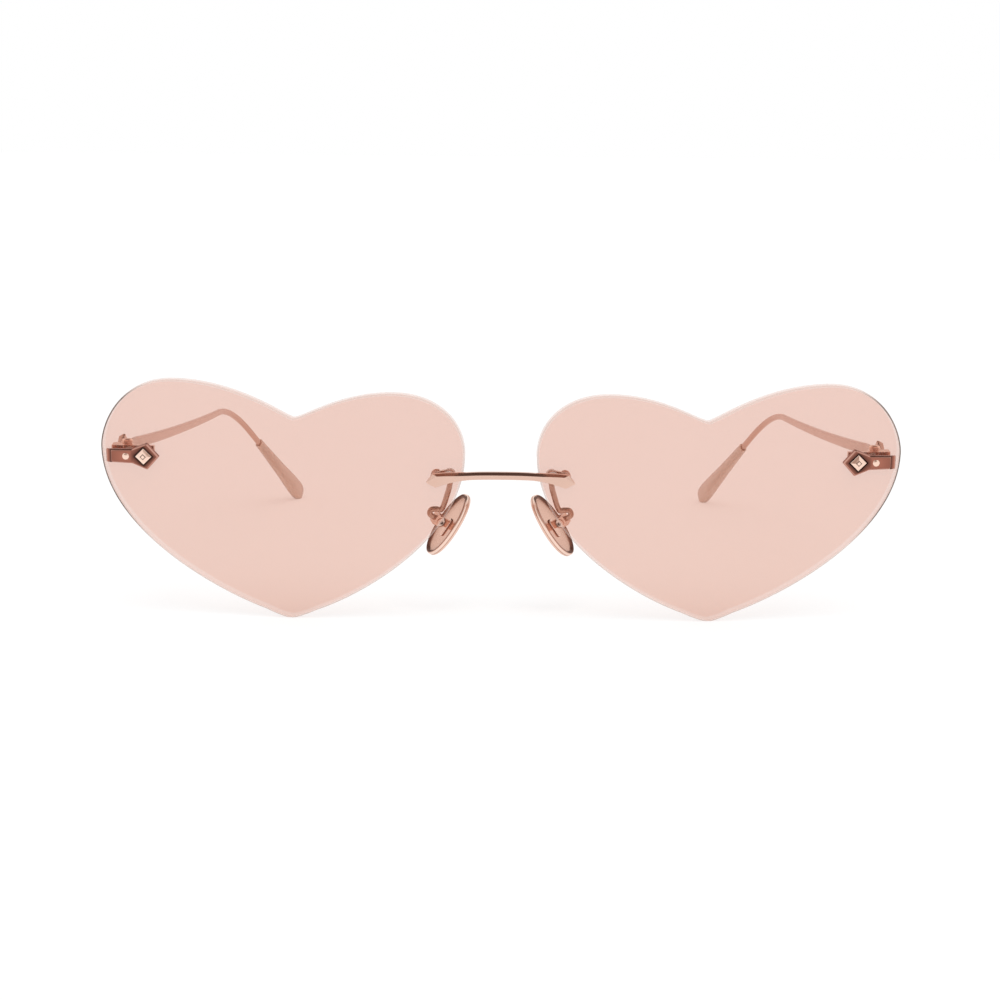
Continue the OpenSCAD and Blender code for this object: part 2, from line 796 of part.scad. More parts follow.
// The plate behind the lens, the block beside it and the two ears of the hinge
module endpiece(left) {
    color(ROSE_GOLD)
        on_side(left)
            difference() {
                union() {
                    at_lens()
                        translate([outer_x - block_h / 2, back_y, outer_h - block_h / 2])
                            cube([lens_w - hinge_in - outer_x + block_h / 2, foot_t, block_h]);
                    hull() {
                        at_lens()
                            translate([tail_x + screw_d, back_y, outer_h - block_h / 2])
                                cube([lens_w - hinge_in - tail_x + plate_x, foot_t, block_h]);
                        at_hinge()
                            translate([-barrel_d / 2, -foot_t, -block_h / 2])
                                cube([barrel_d / 2 + plate_x + plate_t, foot_t - gap, block_h]);
                    }
                    at_hinge()
                        translate([0, 0, -stack_h / 2])
                            cylinder(d = barrel_d, h = stack_h);
                }
                at_hinge() {
                    translate([0, 0, -ear_z])
                        cylinder(r = plate_x + gap, h = 2 * ear_z);
                    translate([0, 0, -stack_h / 2 - over])
                        cylinder(d = screw_d + 2 * play, h = stack_h + 2 * over);
                    // Room for what swings past outside the barrels
                    translate([plate_x, -gap, -stack_h])
                        cube([plate_x + plate_t, plate_x + plate_t, 2 * stack_h]);
                }
                at_lens() {
                    translate([outer_x, 0, outer_h])
                        round_back(post_d + 2 * play, back_y - over, foot_y + over);
                    translate([tail_x, 0, outer_h])
                        round_back(post_d + 2 * play, back_y - over, foot_y + over);
                }
            }
}
// Side outline of the front ornament, from its bore: a diamond with a tail
module ornament_outline() {
    polygon([
        [-diamond_point, 0],
        [-diamond_r * ornament_top_share, diamond_r],
        [diamond_r * ornament_neck_share, tail_h / 2 * ornament_swell_share],
        [tail_l, tail_h / 2],
        [tail_l, -tail_h / 2],
        [diamond_r * ornament_neck_share, -tail_h / 2 * ornament_swell_share],
        [-diamond_r * ornament_top_share, -diamond_r]
    ]);
}
// Its outline from above, with the slope at the end of the tail
module ornament_plan() {
    polygon([
        [-diamond_point, 0],
        [tail_l, 0],
        [tail_l, -ornament_t * tail_end_share],
        [tail_l - tail_slope, -ornament_t],
        [-diamond_point, -ornament_t]
    ]);
}
// The diamond on the front of a lens, with the threaded post that goes through the lens
module front_ornament(left) {
    color(ROSE_GOLD)
        on_side(left)
            at_lens()
                translate([outer_x, 0, outer_h]) {
                    difference() {
                        intersection() {
                            translate([0, front_y, 0])
                                rotate([90, 0, 0])
                                    linear_extrude(ornament_t)
                                        ornament_outline();
                            translate([0, front_y, -diamond_r])
                                linear_extrude(2 * diamond_r)
                                    ornament_plan();
                        }
                        translate([0, front_y - ornament_t + recess, 0])
                            diamond_prism(stud_r + groove, recess + over);
                        translate([outer_step, 0, 0])
                            round_back(post_d + 2 * play, front_y - ornament_t - over, over);
                    }
                    round_back(post_d, front_y - (ornament_t - recess) / 2, foot_y + nut_bore);
                }
}
module front_stud(left) {
    color(PALE_GOLD)
        on_side(left)
            at_lens()
                translate([outer_x, front_y - ornament_t + recess, outer_h])
                    stud();
}

// Hinge screws, dropped in from above
module hinge_screws() {
    color(PALE_GOLD)
        for (left = [true, false])
            on_side(left)
                at_hinge() {
                    translate([0, 0, -stack_h / 2])
                        cylinder(d = screw_d, h = stack_h);
                    difference() {
                        translate([0, 0, stack_h / 2])
                            cylinder(d = head_d, h = head_h);
                        translate([-head_d, -screw_d * slot_share / 2, stack_h / 2 + head_h / 2])
                            cube([2 * head_d, screw_d * slot_share, head_h]);
                    }
                }
}
// Thin washers between the temple's barrel and the ears
module hinge_washers() {
    color(PALE_GOLD)
        for (left = [true, false], z = [washer_z, -washer_z - washer_t])
            on_side(left)
                at_hinge()
                    translate([0, 0, z])
                        difference() {
                            cylinder(d = barrel_d, h = washer_t);
                            translate([0, 0, -over])
                                cylinder(d = screw_d + 2 * play, h = washer_t + 2 * over);
                        }
}
// Side outline of a temple's front plate, in y and z from the hinge pin
module plate_outline() {
    top = concat(
        [[gap, block_h / 2]],
        [for (r = plate_shares)
            [shoulder_l * r[0], block_h / 2 * r[1] + diamond_r * r[2] + neck_h / 2 * r[3]]],
        [[shoulder_l, blade_h / 2]]
    );
    polygon(concat(top, [for (i = [len(top) - 1 : -1 : 0]) [top[i][0], -top[i][1]]]));
}
// A temple: front plate with the hinge's middle barrel, blade, bend and the core of the tip
module temple(left) {
    color(ROSE_GOLD)
        on_side(left)
            at_hinge()
                difference() {
                    union() {
                        translate([plate_x, 0, 0])
                            rotate([90, 0, 90])
                                linear_extrude(plate_t)
                                    plate_outline();
                        skin(core_rings());
                        translate([0, 0, -tongue_h / 2])
                            cylinder(d = barrel_d, h = tongue_h);
                        translate([0, 0, -tongue_h / 2])
                            cube([plate_x + plate_t / 2, barrel_d / 2, tongue_h]);
                    }
                    translate([0, 0, -over])
                        cylinder(d = screw_d + 2 * play, h = 2 * over);
                    translate([plate_x + plate_t - recess, diamond_y, 0])
                        rotate([0, 0, 90])
                            diamond_prism(stud_r + groove, recess + over);
                }
}
module temple_stud(left) {
    color(PALE_GOLD)
        on_side(left)
            at_hinge()
                translate([plate_x + plate_t - recess, diamond_y, 0])
                    rotate([0, 0, 90])
                        stud();
}
// The translucent sleeve on the end of a temple, with the socket that its core fills
module temple_tip(left) {
    color(BLUSH)
        off_the_table()
            on_side(left)
                at_hinge()
                    skin(concat(tip_socket(), tip_outside()));
}

lens(true);  // lens_left
lens(false);  // lens_right
bridge();
lens_bushes();
lens_washers();
cap_nuts();
mount_screws();
pad_arm(true);  // pad_arm_left
pad_arm(false);  // pad_arm_right
pad_box(true);  // pad_box_left
pad_box(false);  // pad_box_right
pad_screws();
nose_pad(true);  // nose_pad_left
nose_pad(false);  // nose_pad_right
endpiece(true);  // endpiece_left
endpiece(false);  // endpiece_right
front_ornament(true);  // front_ornament_left
front_ornament(false);  // front_ornament_right
front_stud(true);  // front_stud_left
front_stud(false);  // front_stud_right
hinge_screws();
hinge_washers();
temple(true);  // temple_left
temple(false);  // temple_right
temple_stud(true);  // temple_stud_left
temple_stud(false);  // temple_stud_right
temple_tip(true);  // temple_tip_left
temple_tip(false);  // temple_tip_right
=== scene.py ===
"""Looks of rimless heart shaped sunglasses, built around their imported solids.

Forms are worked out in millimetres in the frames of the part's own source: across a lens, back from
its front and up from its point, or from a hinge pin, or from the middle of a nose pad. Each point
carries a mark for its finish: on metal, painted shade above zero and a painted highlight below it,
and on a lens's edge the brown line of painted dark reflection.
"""

from functools import reduce

import bmesh
import bpy
import numpy as np
from mathutils import Matrix, Vector
from mathutils.geometry import delaunay_2d_cdt


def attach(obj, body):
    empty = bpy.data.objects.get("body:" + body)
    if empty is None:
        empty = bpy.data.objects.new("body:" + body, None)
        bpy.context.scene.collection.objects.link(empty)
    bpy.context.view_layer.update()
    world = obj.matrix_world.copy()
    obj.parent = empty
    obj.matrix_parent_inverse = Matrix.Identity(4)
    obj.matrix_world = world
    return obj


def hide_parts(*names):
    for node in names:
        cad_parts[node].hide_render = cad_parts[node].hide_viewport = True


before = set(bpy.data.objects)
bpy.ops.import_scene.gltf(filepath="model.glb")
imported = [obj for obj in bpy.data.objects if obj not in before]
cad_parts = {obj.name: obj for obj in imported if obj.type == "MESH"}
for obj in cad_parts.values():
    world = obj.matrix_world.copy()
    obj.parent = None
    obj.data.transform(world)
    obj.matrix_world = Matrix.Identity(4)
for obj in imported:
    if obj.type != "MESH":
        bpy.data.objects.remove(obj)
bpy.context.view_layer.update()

MM = 0.001
SIDES = (("left", 1), ("right", -1))

# Lenses, in millimetres and degrees
LENS_W, LENS_H, LENS_T, LENS_GAP = 65.6, 43.9, 2.0, 12.9
WRAP, TILT, SPLAY, LEAN = 4.0, 8.5, 5.3, 5.8352
MIDDLE_Y, DROP_Z = 65.7363, -0.343621
HOLE_R, POST_R, COLLAR_T = 0.75, 0.52, 0.2
OUTER_X, TAIL_X, OUTER_H = 57.7, 60.9, 29.9
NASAL_XS = (2.8, 5.3)
FOOT_Y, FOOT_T = 3.1, 0.9
NUT_R, NUT_H, NUT_WAIST = 1.05, 1.3, 0.9
# LENS_ROUND rounds the lens's edge. The rest place its brown line of painted dark reflection: how far down
# the wall it runs, the share of the width where its rise starts, the span of that rise, and its least
# strength.
LENS_ROUND, PAINTED_REFLECTION_DEPTH = 0.24, 0.6
PAINTED_REFLECTION_FROM, PAINTED_REFLECTION_FADE, PAINTED_REFLECTION_LEAST = 0.84, 0.1, 0.3
# Bridge
BRIDGE_HALF, BRIDGE_H, BAR_H, BAR_T, BAR_DROP = 13.237, 27.95, 1.5, 1.5, 1.5
BAR_ROOT, GEM_H, GEM_INSETS = 0.6, 2.75, (1.1, 1.1, 1.1, 1.85, 1.6, 1.6)
# Ornaments
DIAMOND_R, DIAMOND_POINT, ORNAMENT_T = 2.45, 2.8, 0.9
TAIL_L, TAIL_H, TAIL_SLOPE = 6.85, 2.4, 0.85
STUD_R, STUD_H, RECESS, GROOVE = 1.5, 0.85, 0.4, 0.28
ORNAMENT_ROOT, TAIL_LAP, TAIL_FALL, TAIL_HEAD_R = 0.5, 0.2, 0.62, 0.65
# Hinges
HINGE_IN, HINGE_BACK, BARREL_R, STACK_H, TONGUE_H = 3.8, 2.35, 1.1, 3.0, 0.9
SCREW_R, HEAD_R, HEAD_H, BLOCK_H, PLATE_X = 0.6, 0.95, 0.4, 2.4, 1.2
SLOT_HALF, SLOT_W, SLOT_FLOOR = 0.62, 0.28, 0.22
# Temples and tips
BLADE_L, DROP_L, DROP_IN, DROP_DOWN, BEND_L = 96.5, 44.0, 14.5, 32.5, 12.0
PLATE_T, NECK_H, BLADE_H, SHOULDER, BLADE_T = 1.2, 1.55, 2.25, 11.4, 1.1
CORE_H, CORE_T, BLADE_DIP, SEAT_AT = 1.3, 0.9, 0.5, 0.28
TIP_L, TIP_MOUTH, TIP_SIZE, TIP_PLAY, SOCKET = 27.0, (1.55, 1.9), (2.1, 4.2), 0.05, 0.82
# Nose pads
PAD_L, PAD_W, PAD_T, PAD_TAPER = 13.2, 7.0, 1.3, 0.08
PAD_AT, PAD_LEAN, PAD_SPLAY, PIVOT_OUT = (9.5, 10.6, 15.6), 33.0, 21.0, 2.1
BOX_W, BOX_H, BOX_WALL, WEB_OUT = 2.0, 2.0, 0.5, 3.38
LUG_R, PAD_SCREW_R, PAD_HEAD_R, PAD_SOCKET_R = 0.68, 0.4, 0.85, 0.36
ARM_R, ARM_LOOP, RIB_R, RIB_UP, RIB_DOWN = 0.51, 1.25, 0.55, 0.7, 2.0
# Small chamfers and margins, the gap round a screw, and the angle from which an edge is sharp
SOFT, PLAY, SHARP = 0.06, 0.03, 30.0


# Frames


def turn(axis, degrees):
    """4 by 4 turn about x, y or z."""
    a = np.radians(degrees)
    i, j = {"x": (1, 2), "y": (2, 0), "z": (0, 1)}[axis]
    m = np.eye(4)
    m[[i, j], [i, j]] = np.cos(a)
    m[i, j], m[j, i] = -np.sin(a), np.sin(a)
    return m


def shift(x, y, z):
    """4 by 4 move."""
    m = np.eye(4)
    m[:3, 3] = x, y, z
    return m


def carried(points, matrix):
    """Points carried by a 4 by 4 matrix."""
    return np.asarray(points, float) @ matrix[:3, :3].T + matrix[:3, 3]


STAND = shift(0, -MIDDLE_Y, DROP_Z) @ turn("x", LEAN)
AT_LENS = shift(LENS_GAP / 2, 0, 0) @ turn("z", WRAP)
HINGE_AT = carried([LENS_W - HINGE_IN, LENS_T + HINGE_BACK, OUTER_H], AT_LENS)
AT_HINGE = shift(*HINGE_AT) @ turn("x", -TILT) @ turn("z", SPLAY)
AT_PAD = shift(*PAD_AT) @ turn("y", -PAD_LEAN) @ turn("z", -PAD_SPLAY)
NASAL_OUT = LENS_GAP / 2 + np.array(NASAL_XS) * np.cos(np.radians(WRAP))
NASAL_ZS = BRIDGE_H - BAR_DROP * (NASAL_OUT / BRIDGE_HALF) ** 3
FACE_ON = np.array([[1.0, 0, 0, 0], [0, 0, 1, 0], [0, 1, 0, 0], [0, 0, 0, 1]])
TO_FRONT = np.array([[1.0, 0, 0, 0], [0, 0, -1, 0], [0, 1, 0, 0], [0, 0, 0, 1]])
TO_SIDE = np.array([[0, 0, 1.0, 0], [1, 0, 0, 0], [0, 1, 0, 0], [0, 0, 0, 1]])


def on_side(sign):
    """The standing front, mirrored for the wearer's right."""
    return STAND @ np.diag([sign, 1.0, 1.0, 1.0])


# Forms


class Form:
    """A closed surface: points, faces of three or four corners (a missing fourth is -1), and one mark a
    point that the finish reads."""

    def __init__(self, points, faces, marks):
        self.points = np.asarray(points, float)
        self.faces = np.asarray(faces, int)
        self.marks = np.asarray(marks, float)

    def turned_over(self):
        """The same points with every face facing the other way."""
        f = self.faces
        f = np.where(f[:, 3:] < 0, f[:, [2, 1, 0, 3]], f[:, ::-1])
        return Form(self.points, f, self.marks)

    def outward(self):
        """Turned over where the signed volume under its faces is negative."""
        faces = np.where(self.faces < 0, self.faces[:, :1], self.faces)
        a, b, c, d = (self.points[faces[:, k]] for k in range(4))
        volume = (a * (np.cross(b, c) + np.cross(c, d))).sum()
        return self if volume > 0 else self.turned_over()

    def by(self, matrix):
        """Carried by a matrix; a mirror turns it over again, so that it still faces outward."""
        moved = Form(carried(self.points, matrix), self.faces, self.marks)
        return moved.turned_over() if np.linalg.det(matrix[:3, :3]) < 0 else moved

    def marked(self, value):
        """The same form with one mark all over."""
        return Form(self.points, self.faces, np.full(len(self.points), float(value)))

    def __add__(self, other):
        faces = np.where(other.faces < 0, -1, other.faces + len(self.points))
        return Form(
            np.vstack([self.points, other.points]),
            np.vstack([self.faces, faces]),
            np.concatenate([self.marks, other.marks]),
        )


def together(forms):
    """Several forms as one."""
    return reduce(Form.__add__, forms)


def on_both(form, place):
    """A form at a place on each side of the front."""
    return together(form.by(on_side(sign) @ place) for _, sign in SIDES)


def walls(near, far):
    """Quads between two rings of as many point numbers."""
    return np.stack([near, np.roll(near, -1), np.roll(far, -1), far], 1)


def fan(ring, middle):
    """Triangles from a ring of point numbers to a middle point."""
    return np.stack([ring, np.roll(ring, -1), np.full(len(ring), middle), np.full(len(ring), -1)], 1)


def bore(radius, depth, at, mark=0.6):
    """A round hole through a slab, its wall marked for painted shade and a clean margin round each mouth.
    """
    rows = [(SOFT, depth, 0), (0, depth, mark), (0, 0, mark), (SOFT, 0, 0)]
    return circle(radius, 28, at), rows, True, 0


def lattice(points, marks=0.0, loop=False):
    """Quads over points[row, column]. Columns run round and meet. Rows meet as well where loop is true,
    and otherwise each end row is closed to its middle."""
    rows, columns = points.shape[:2]
    index = np.arange(rows * columns).reshape(rows, columns)
    near, far = (index, np.roll(index, -1, 0)) if loop else (index[:-1], index[1:])
    quads = np.stack([near, np.roll(near, -1, 1), np.roll(far, -1, 1), far], -1).reshape(-1, 4)
    row_marks = np.broadcast_to(np.asarray(marks, float), (rows,))
    all_marks = np.repeat(row_marks, columns)
    flat = points.reshape(-1, 3)
    if not loop:
        flat = np.vstack([flat, points[0].mean(0), points[-1].mean(0)])
        quads = np.vstack([quads, fan(index[0][::-1], rows * columns), fan(index[-1], rows * columns + 1)])
        all_marks = np.append(all_marks, [row_marks[0], row_marks[-1]])
    return Form(flat, quads, all_marks).outward()


def revolved(profile, sides, loop=False):
    """Rows of (radius, height, mark) turned about the third axis."""
    rows = np.asarray(profile, float)
    radius, height = rows[:, :1], np.repeat(rows[:, 1:2], sides, 1)
    t = np.linspace(0, 2 * np.pi, sides, endpoint=False)
    return lattice(np.stack([radius * np.cos(t), radius * np.sin(t), height], -1), rows[:, 2], loop)


def circle(radius, sides, at=(0, 0)):
    """A round outline."""
    t = np.linspace(0, 2 * np.pi, sides, endpoint=False)
    return np.stack([at[0] + radius * np.cos(t), at[1] + radius * np.sin(t)], 1)


def soft_corners(outline, radius):
    """Each corner of a closed outline replaced by a parabola between its sides, which starts at most
    0.45 of the shorter side away."""
    p = np.asarray(outline, float)
    back, on = np.roll(p, 1, 0) - p, np.roll(p, -1, 0) - p
    long_back, long_on = np.linalg.norm(back, axis=1), np.linalg.norm(on, axis=1)
    r = np.minimum(radius, 0.45 * np.minimum(long_back, long_on))
    a = p + back * (r / long_back)[:, None]
    b = p + on * (r / long_on)[:, None]
    t = np.linspace(0, 1, 4)[None, :, None]
    return (a[:, None] * (1 - t) ** 2 + p[:, None] * 2 * t * (1 - t) + b[:, None] * t * t).reshape(-1, 2)


def runs_left(outline):
    """The outline in the order that has its inside on the left."""
    x, y = outline[:, 0], outline[:, 1]
    area = (x * np.roll(y, -1) - np.roll(x, -1) * y).sum()
    return outline if area > 0 else outline[::-1]


def inset(outline, distance):
    """Every side of the outline moved inwards, and each corner to where its two sides now meet."""
    side = np.roll(outline, -1, 0) - outline
    side = side / np.linalg.norm(side, axis=1)[:, None]
    after = np.stack([-side[:, 1], side[:, 0]], 1)
    before = np.roll(after, 1, 0)
    both = 1 + (before * after).sum(1)
    return outline + distance * (before + after) / both[:, None]


def is_inside(points, ring):
    """Whether each point is inside a ring, by the count of sides that a line from it crosses."""
    a, b = ring, np.roll(ring, -1, 0)
    y = points[:, 1:2]
    crosses = (a[:, 1] > y) != (b[:, 1] > y)
    rise = np.where(b[:, 1] == a[:, 1], 1.0, b[:, 1] - a[:, 1])
    x = a[:, 0] + (y - a[:, 1]) / rise * (b[:, 0] - a[:, 0])
    return (crosses & (points[:, :1] < x)).sum(1) % 2 == 1


def flat_fill(rings, numbers):
    """Triangles of the flat area inside the first ring and outside the others, facing up."""
    flat = np.vstack(rings)
    number = np.concatenate(numbers)
    runs = np.split(np.arange(len(flat)), np.cumsum([len(r) for r in rings])[:-1])
    sides = np.concatenate([np.stack([run, np.roll(run, -1)], 1) for run in runs])
    found = delaunay_2d_cdt([Vector(p) for p in flat.tolist()], sides.tolist(), [], 0, 1e-8)
    origin = np.array([o[0] for o in found[3]])
    corners = origin[np.array(found[2])]
    middle = flat[corners].mean(1)
    keep = is_inside(middle, rings[0])
    for ring in rings[1:]:
        keep &= ~is_inside(middle, ring)
    corners = corners[keep]
    a, b, c = (flat[corners[:, k]] for k in range(3))
    turned = np.cross(b - a, c - a) < 0
    corners = np.where(turned[:, None], corners[:, ::-1], corners)
    return np.hstack([number[corners], np.full((len(corners), 1), -1)])


def slab(outline, edge, holes=(), soft=0.0):
    """A flat piece. Rings of its outline stand at the rows (inset, height, mark) of edge, lowest first, and
    soft rounds their corners. A hole is (outline, rows from the top down, whether it goes through, soft),
    and one that doesn't go through has a floor."""
    outline = runs_left(np.asarray(outline, float))
    points, marks, faces = [], [], []

    def ring(flat, height, mark):
        start = sum(len(p) for p in points)
        points.append(np.hstack([flat, np.full((len(flat), 1), height)]))
        marks.append(np.full(len(flat), mark))
        return np.arange(start, start + len(flat))

    def stack(flat, rows, sign, soft):
        flats = [inset(flat, sign * row[0]) for row in rows]
        if soft:
            flats = [soft_corners(f, soft) for f in flats]
        rings = [ring(f, row[1], row[2]) for f, row in zip(flats, rows)]
        faces.extend(walls(a, b) for a, b in zip(rings[:-1], rings[1:]))
        return flats, rings

    flats, rings = stack(outline, edge, 1, soft)
    tops, bottoms = [(flats[-1], rings[-1])], [(flats[0], rings[0])]
    for hole, rows, through, hole_soft in holes:
        hole_flats, hole_rings = stack(runs_left(np.asarray(hole, float)), rows, -1, hole_soft)
        tops.append((hole_flats[0], hole_rings[0]))
        if through:
            bottoms.append((hole_flats[-1], hole_rings[-1]))
        else:
            middle = ring(hole_flats[-1].mean(0, keepdims=True), rows[-1][1], rows[-1][2])
            faces.append(fan(hole_rings[-1], middle[0]))
    faces.append(flat_fill(*zip(*tops)))
    faces.append(flat_fill(*zip(*bottoms))[:, [2, 1, 0, 3]])
    return Form(np.vstack(points), np.vstack(faces), np.concatenate(marks)).outward()


def rounded_edge(height, radius, steps=3):
    """Rows of a slab's edge with a quarter round at the bottom and at the top, and by each a flat margin
    that starts 1.4 radii in."""
    a = np.radians(np.linspace(0, 90, steps + 1))
    ins, up = radius * (1 - np.sin(a)), radius * (1 - np.cos(a))
    low = np.stack([ins, up, np.zeros(len(a))], 1)
    low = np.vstack([[radius * 1.4, 0, 0], low])
    return np.vstack([low, low[::-1] * [1, -1, 1] + [0, height, 0]])


def unit(v):
    """Vectors scaled to length one."""
    return v / np.linalg.norm(v, axis=-1, keepdims=True)


def cubics(p, q, r, s, steps):
    """Points along the cubic curves from p to s with handles q and r, a row of each for one curve:
    p (1 - t)^3 + 3 q t (1 - t)^2 + 3 r t^2 (1 - t) + s t^3."""
    p, q, r, s = (v[:, None] for v in (p, q, r, s))
    t = np.linspace(0, 1, steps, endpoint=False)[None, :, None]
    curve = p * (1 - t) ** 3 + q * 3 * t * (1 - t) ** 2 + r * 3 * t * t * (1 - t) + s * t**3
    return curve.reshape(-1, p.shape[-1])


def smooth_rows(rows, steps):
    """A smooth curve through rows of numbers: on each stretch a cubic whose ends run parallel to the
    lines between the neighbours."""
    p = np.asarray(rows, float)
    p = np.vstack([2 * p[:1] - p[1:2], p, 2 * p[-1:] - p[-2:-1]])
    a, b, c, d = p[:-3], p[1:-2], p[2:-1], p[3:]
    return np.vstack([cubics(b, b + (c - a) / 6, c - (d - b) / 6, c, steps), p[-2:-1]])


def squared_ring(a, b, columns=32):
    """A rounded box with half sizes a and b: cosine and sine raised to 2 / 3.4, their signs kept."""
    t = 2 * np.pi * (np.arange(columns) + 0.5) / columns
    power = 2 / 3.4
    x, z = (np.sign(v) * np.abs(v) ** power for v in (np.cos(t), np.sin(t)))
    return np.stack([np.multiply.outer(a, x), np.multiply.outer(b, z)], -1)


def stood(rings, path, way):
    """Flat rings stood on a path, each square to the way there, its second axis upright."""
    side = unit(np.stack([way[:, 1], -way[:, 0], np.zeros(len(way))], 1))
    up = np.cross(side, way)
    return path[:, None] + side[:, None] * rings[..., :1] - up[:, None] * rings[..., 1:]


# Pieces


def placed(name, data):
    """A new object in the scene."""
    made = bpy.data.objects.new(name, data)
    bpy.context.scene.collection.objects.link(made)
    return made


def make(name, body, form, finish, nodes, sharp=SHARP, bevel=0.0):
    """One piece from a form in standing millimetres: its mesh and marks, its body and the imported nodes
    that it stands for."""
    mesh = bpy.data.meshes.new(name)
    counts = (form.faces >= 0).sum(1)
    corners = form.faces[form.faces >= 0]
    mesh.vertices.add(len(form.points))
    mesh.vertices.foreach_set("co", (form.points * MM).ravel())
    mesh.loops.add(len(corners))
    mesh.loops.foreach_set("vertex_index", corners)
    mesh.polygons.add(len(counts))
    mesh.polygons.foreach_set("loop_start", np.cumsum(counts) - counts)
    mesh.update(calc_edges=True)
    mesh.validate()
    mesh.attributes.new("mark", "FLOAT", "POINT").data.foreach_set("value", form.marks)
    mesh.shade_smooth()
    mesh.set_sharp_from_angle(angle=np.radians(sharp))
    mesh.materials.append(finish)
    piece = placed(name, mesh)
    if bevel:
        add_bevel(piece, bevel, sharp)
    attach(piece, body)
    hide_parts(*nodes)
    return piece


def add_bevel(piece, width, sharp):
    """Rounds the edges of a piece that are sharper than an angle, its width in millimetres."""
    bevel = piece.modifiers.new("edges", "BEVEL")
    bevel.width = width * MM
    bevel.segments = 3
    bevel.limit_method = "ANGLE"
    bevel.angle_limit = np.radians(sharp)
    bevel.harden_normals = True


def softened(name, body, node, finish, width):
    """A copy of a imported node's mesh with its doubles merged, its flat faces joined and its sharp edges
    rounded, in the node's place."""
    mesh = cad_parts[node].data.copy()
    mesh.name = name
    shape = bmesh.new()
    shape.from_mesh(mesh)
    bmesh.ops.remove_doubles(shape, verts=shape.verts, dist=2e-6)
    flat = np.radians(1.0)
    bmesh.ops.dissolve_limit(shape, angle_limit=flat, verts=shape.verts, edges=shape.edges)
    shape.to_mesh(mesh)
    shape.free()
    mesh.materials.clear()
    mesh.materials.append(finish)
    mesh.shade_smooth()
    mesh.set_sharp_from_angle(angle=np.radians(SHARP))
    piece = placed(name, mesh)
    add_bevel(piece, width, SHARP)
    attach(piece, body)
    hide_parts(node)
    return piece


# Camera, floor and light

WHITE = (1, 1, 1, 1)


def add_camera():
    """The photograph's place: 400 mm off, 9.6 degrees up and rolled by half a degree."""
    aim, distance = Vector((0, -0.06825, 0.022)), 0.4
    climb, roll = np.radians(9.6), np.radians(0.53)
    ahead = Vector((0, np.cos(climb), -np.sin(climb)))
    level, above = Vector((1, 0, 0)), Vector((0, np.sin(climb), np.cos(climb)))
    right = level * np.cos(roll) + above * np.sin(roll)
    up = above * np.cos(roll) - level * np.sin(roll)
    data = bpy.data.cameras.new("camera")
    data.sensor_width = 36
    data.lens = 80.6
    data.shift_x, data.shift_y = -0.0005, 0.0046
    data.clip_start = 0.01
    eye = placed("camera", data)
    axes = Matrix((right, up, -ahead)).transposed().to_4x4()
    eye.matrix_world = Matrix.Translation(aim - ahead * distance) @ axes
    bpy.context.scene.camera = eye


class Wire:
    """One value in a tree of shader nodes. Sums, differences, products and powers add their Math nodes,
    and a | b gives the larger of the two."""

    def __init__(self, finish, socket):
        self.finish, self.socket = finish, socket

    def _math(self, operation, a, b):
        return self.finish.node("ShaderNodeMath", {"operation": operation}, {0: a, 1: b})

    def __add__(self, other):
        return self._math("ADD", self, other)

    def __sub__(self, other):
        return self._math("SUBTRACT", self, other)

    def __rsub__(self, other):
        return self._math("SUBTRACT", other, self)

    def __mul__(self, other):
        return self._math("MULTIPLY", self, other)

    def __pow__(self, other):
        return self._math("POWER", self, other)

    def __or__(self, other):
        return self._math("MAXIMUM", self, other)

    __radd__, __rmul__ = __add__, __mul__


class Finish:
    """A tree of shader nodes under construction."""

    def __init__(self, tree):
        self.tree = tree
        tree.nodes.clear()

    def node(self, kind, settings=None, values=None, out=0):
        """Adds a node, sets it up, fills its sockets with numbers or wires, and gives one of its outputs,
        or nothing where it has none."""
        made = self.tree.nodes.new(kind)
        for key, value in (settings or {}).items():
            setattr(made, key, value)
        for key, value in (values or {}).items():
            if isinstance(value, Wire):
                self.tree.links.new(value.socket, made.inputs[key])
            else:
                made.inputs[key].default_value = value
        return Wire(self, made.outputs[out]) if made.outputs else None

    def mixed(self, share, a, b):
        """Colour a where share is 0 and b where it is 1."""
        return self.node("ShaderNodeMix", {"data_type": "RGBA"}, {0: share, 6: a, 7: b}, 2)

    def place(self):
        """The place on the piece."""
        return self.node("ShaderNodeTexCoord", None, None, "Object")

    def noise(self, scale, detail=2.0, stretch=(1, 1, 1)):
        """Soft noise from 0 to 1, its scale in waves per metre, drawn out along an axis where stretch is
        less than 1."""
        where = self.node("ShaderNodeMapping", None, {"Vector": self.place(), "Scale": stretch})
        return self.node("ShaderNodeTexNoise", None, {"Vector": where, "Scale": scale, "Detail": detail})

    def band(self, value, low, high):
        """0 where value is below low, 1 above high, and a straight rise between them."""
        ends = {"Value": value, "From Min": low, "From Max": high}
        return self.node("ShaderNodeMapRange", {"clamp": True}, ends)

    def mark(self):
        """The mark that the piece's form carries."""
        return self.node("ShaderNodeAttribute", {"attribute_name": "mark"}, None, "Fac")

    def bump(self, height, distance):
        """A normal that follows height, whose full size is distance, in metres."""
        return self.node("ShaderNodeBump", None, {"Height": height, "Distance": distance})

    def seen(self):
        """1 for what the camera sees, straight, in metal or through glass, and 0 for the light that falls
        on the object."""
        kinds = ("Is Camera Ray", "Is Glossy Ray", "Is Transmission Ray")
        camera, gloss, glass = (self.node("ShaderNodeLightPath", None, None, kind) for kind in kinds)
        return camera | gloss | glass

    def surface(self, values):
        """Ends the tree in a Principled surface."""
        self.end(self.node("ShaderNodeBsdfPrincipled", None, values))

    def end(self, shader):
        """Ends the tree in a shader."""
        self.node("ShaderNodeOutputMaterial", None, {"Surface": shader})

    def coated(self, tint, values, share):
        """Ends the tree in a see-through tint under a Principled film, which covers share of it."""
        clear = self.node("ShaderNodeBsdfTransparent", None, {"Color": tint})
        film = self.node("ShaderNodeBsdfPrincipled", None, values)
        self.end(self.node("ShaderNodeMixShader", None, {0: share, 1: clear, 2: film}))


def finish_named(name):
    """A new material and its tree."""
    material = bpy.data.materials.new(name)
    material.use_nodes = True
    return material, Finish(material.node_tree)


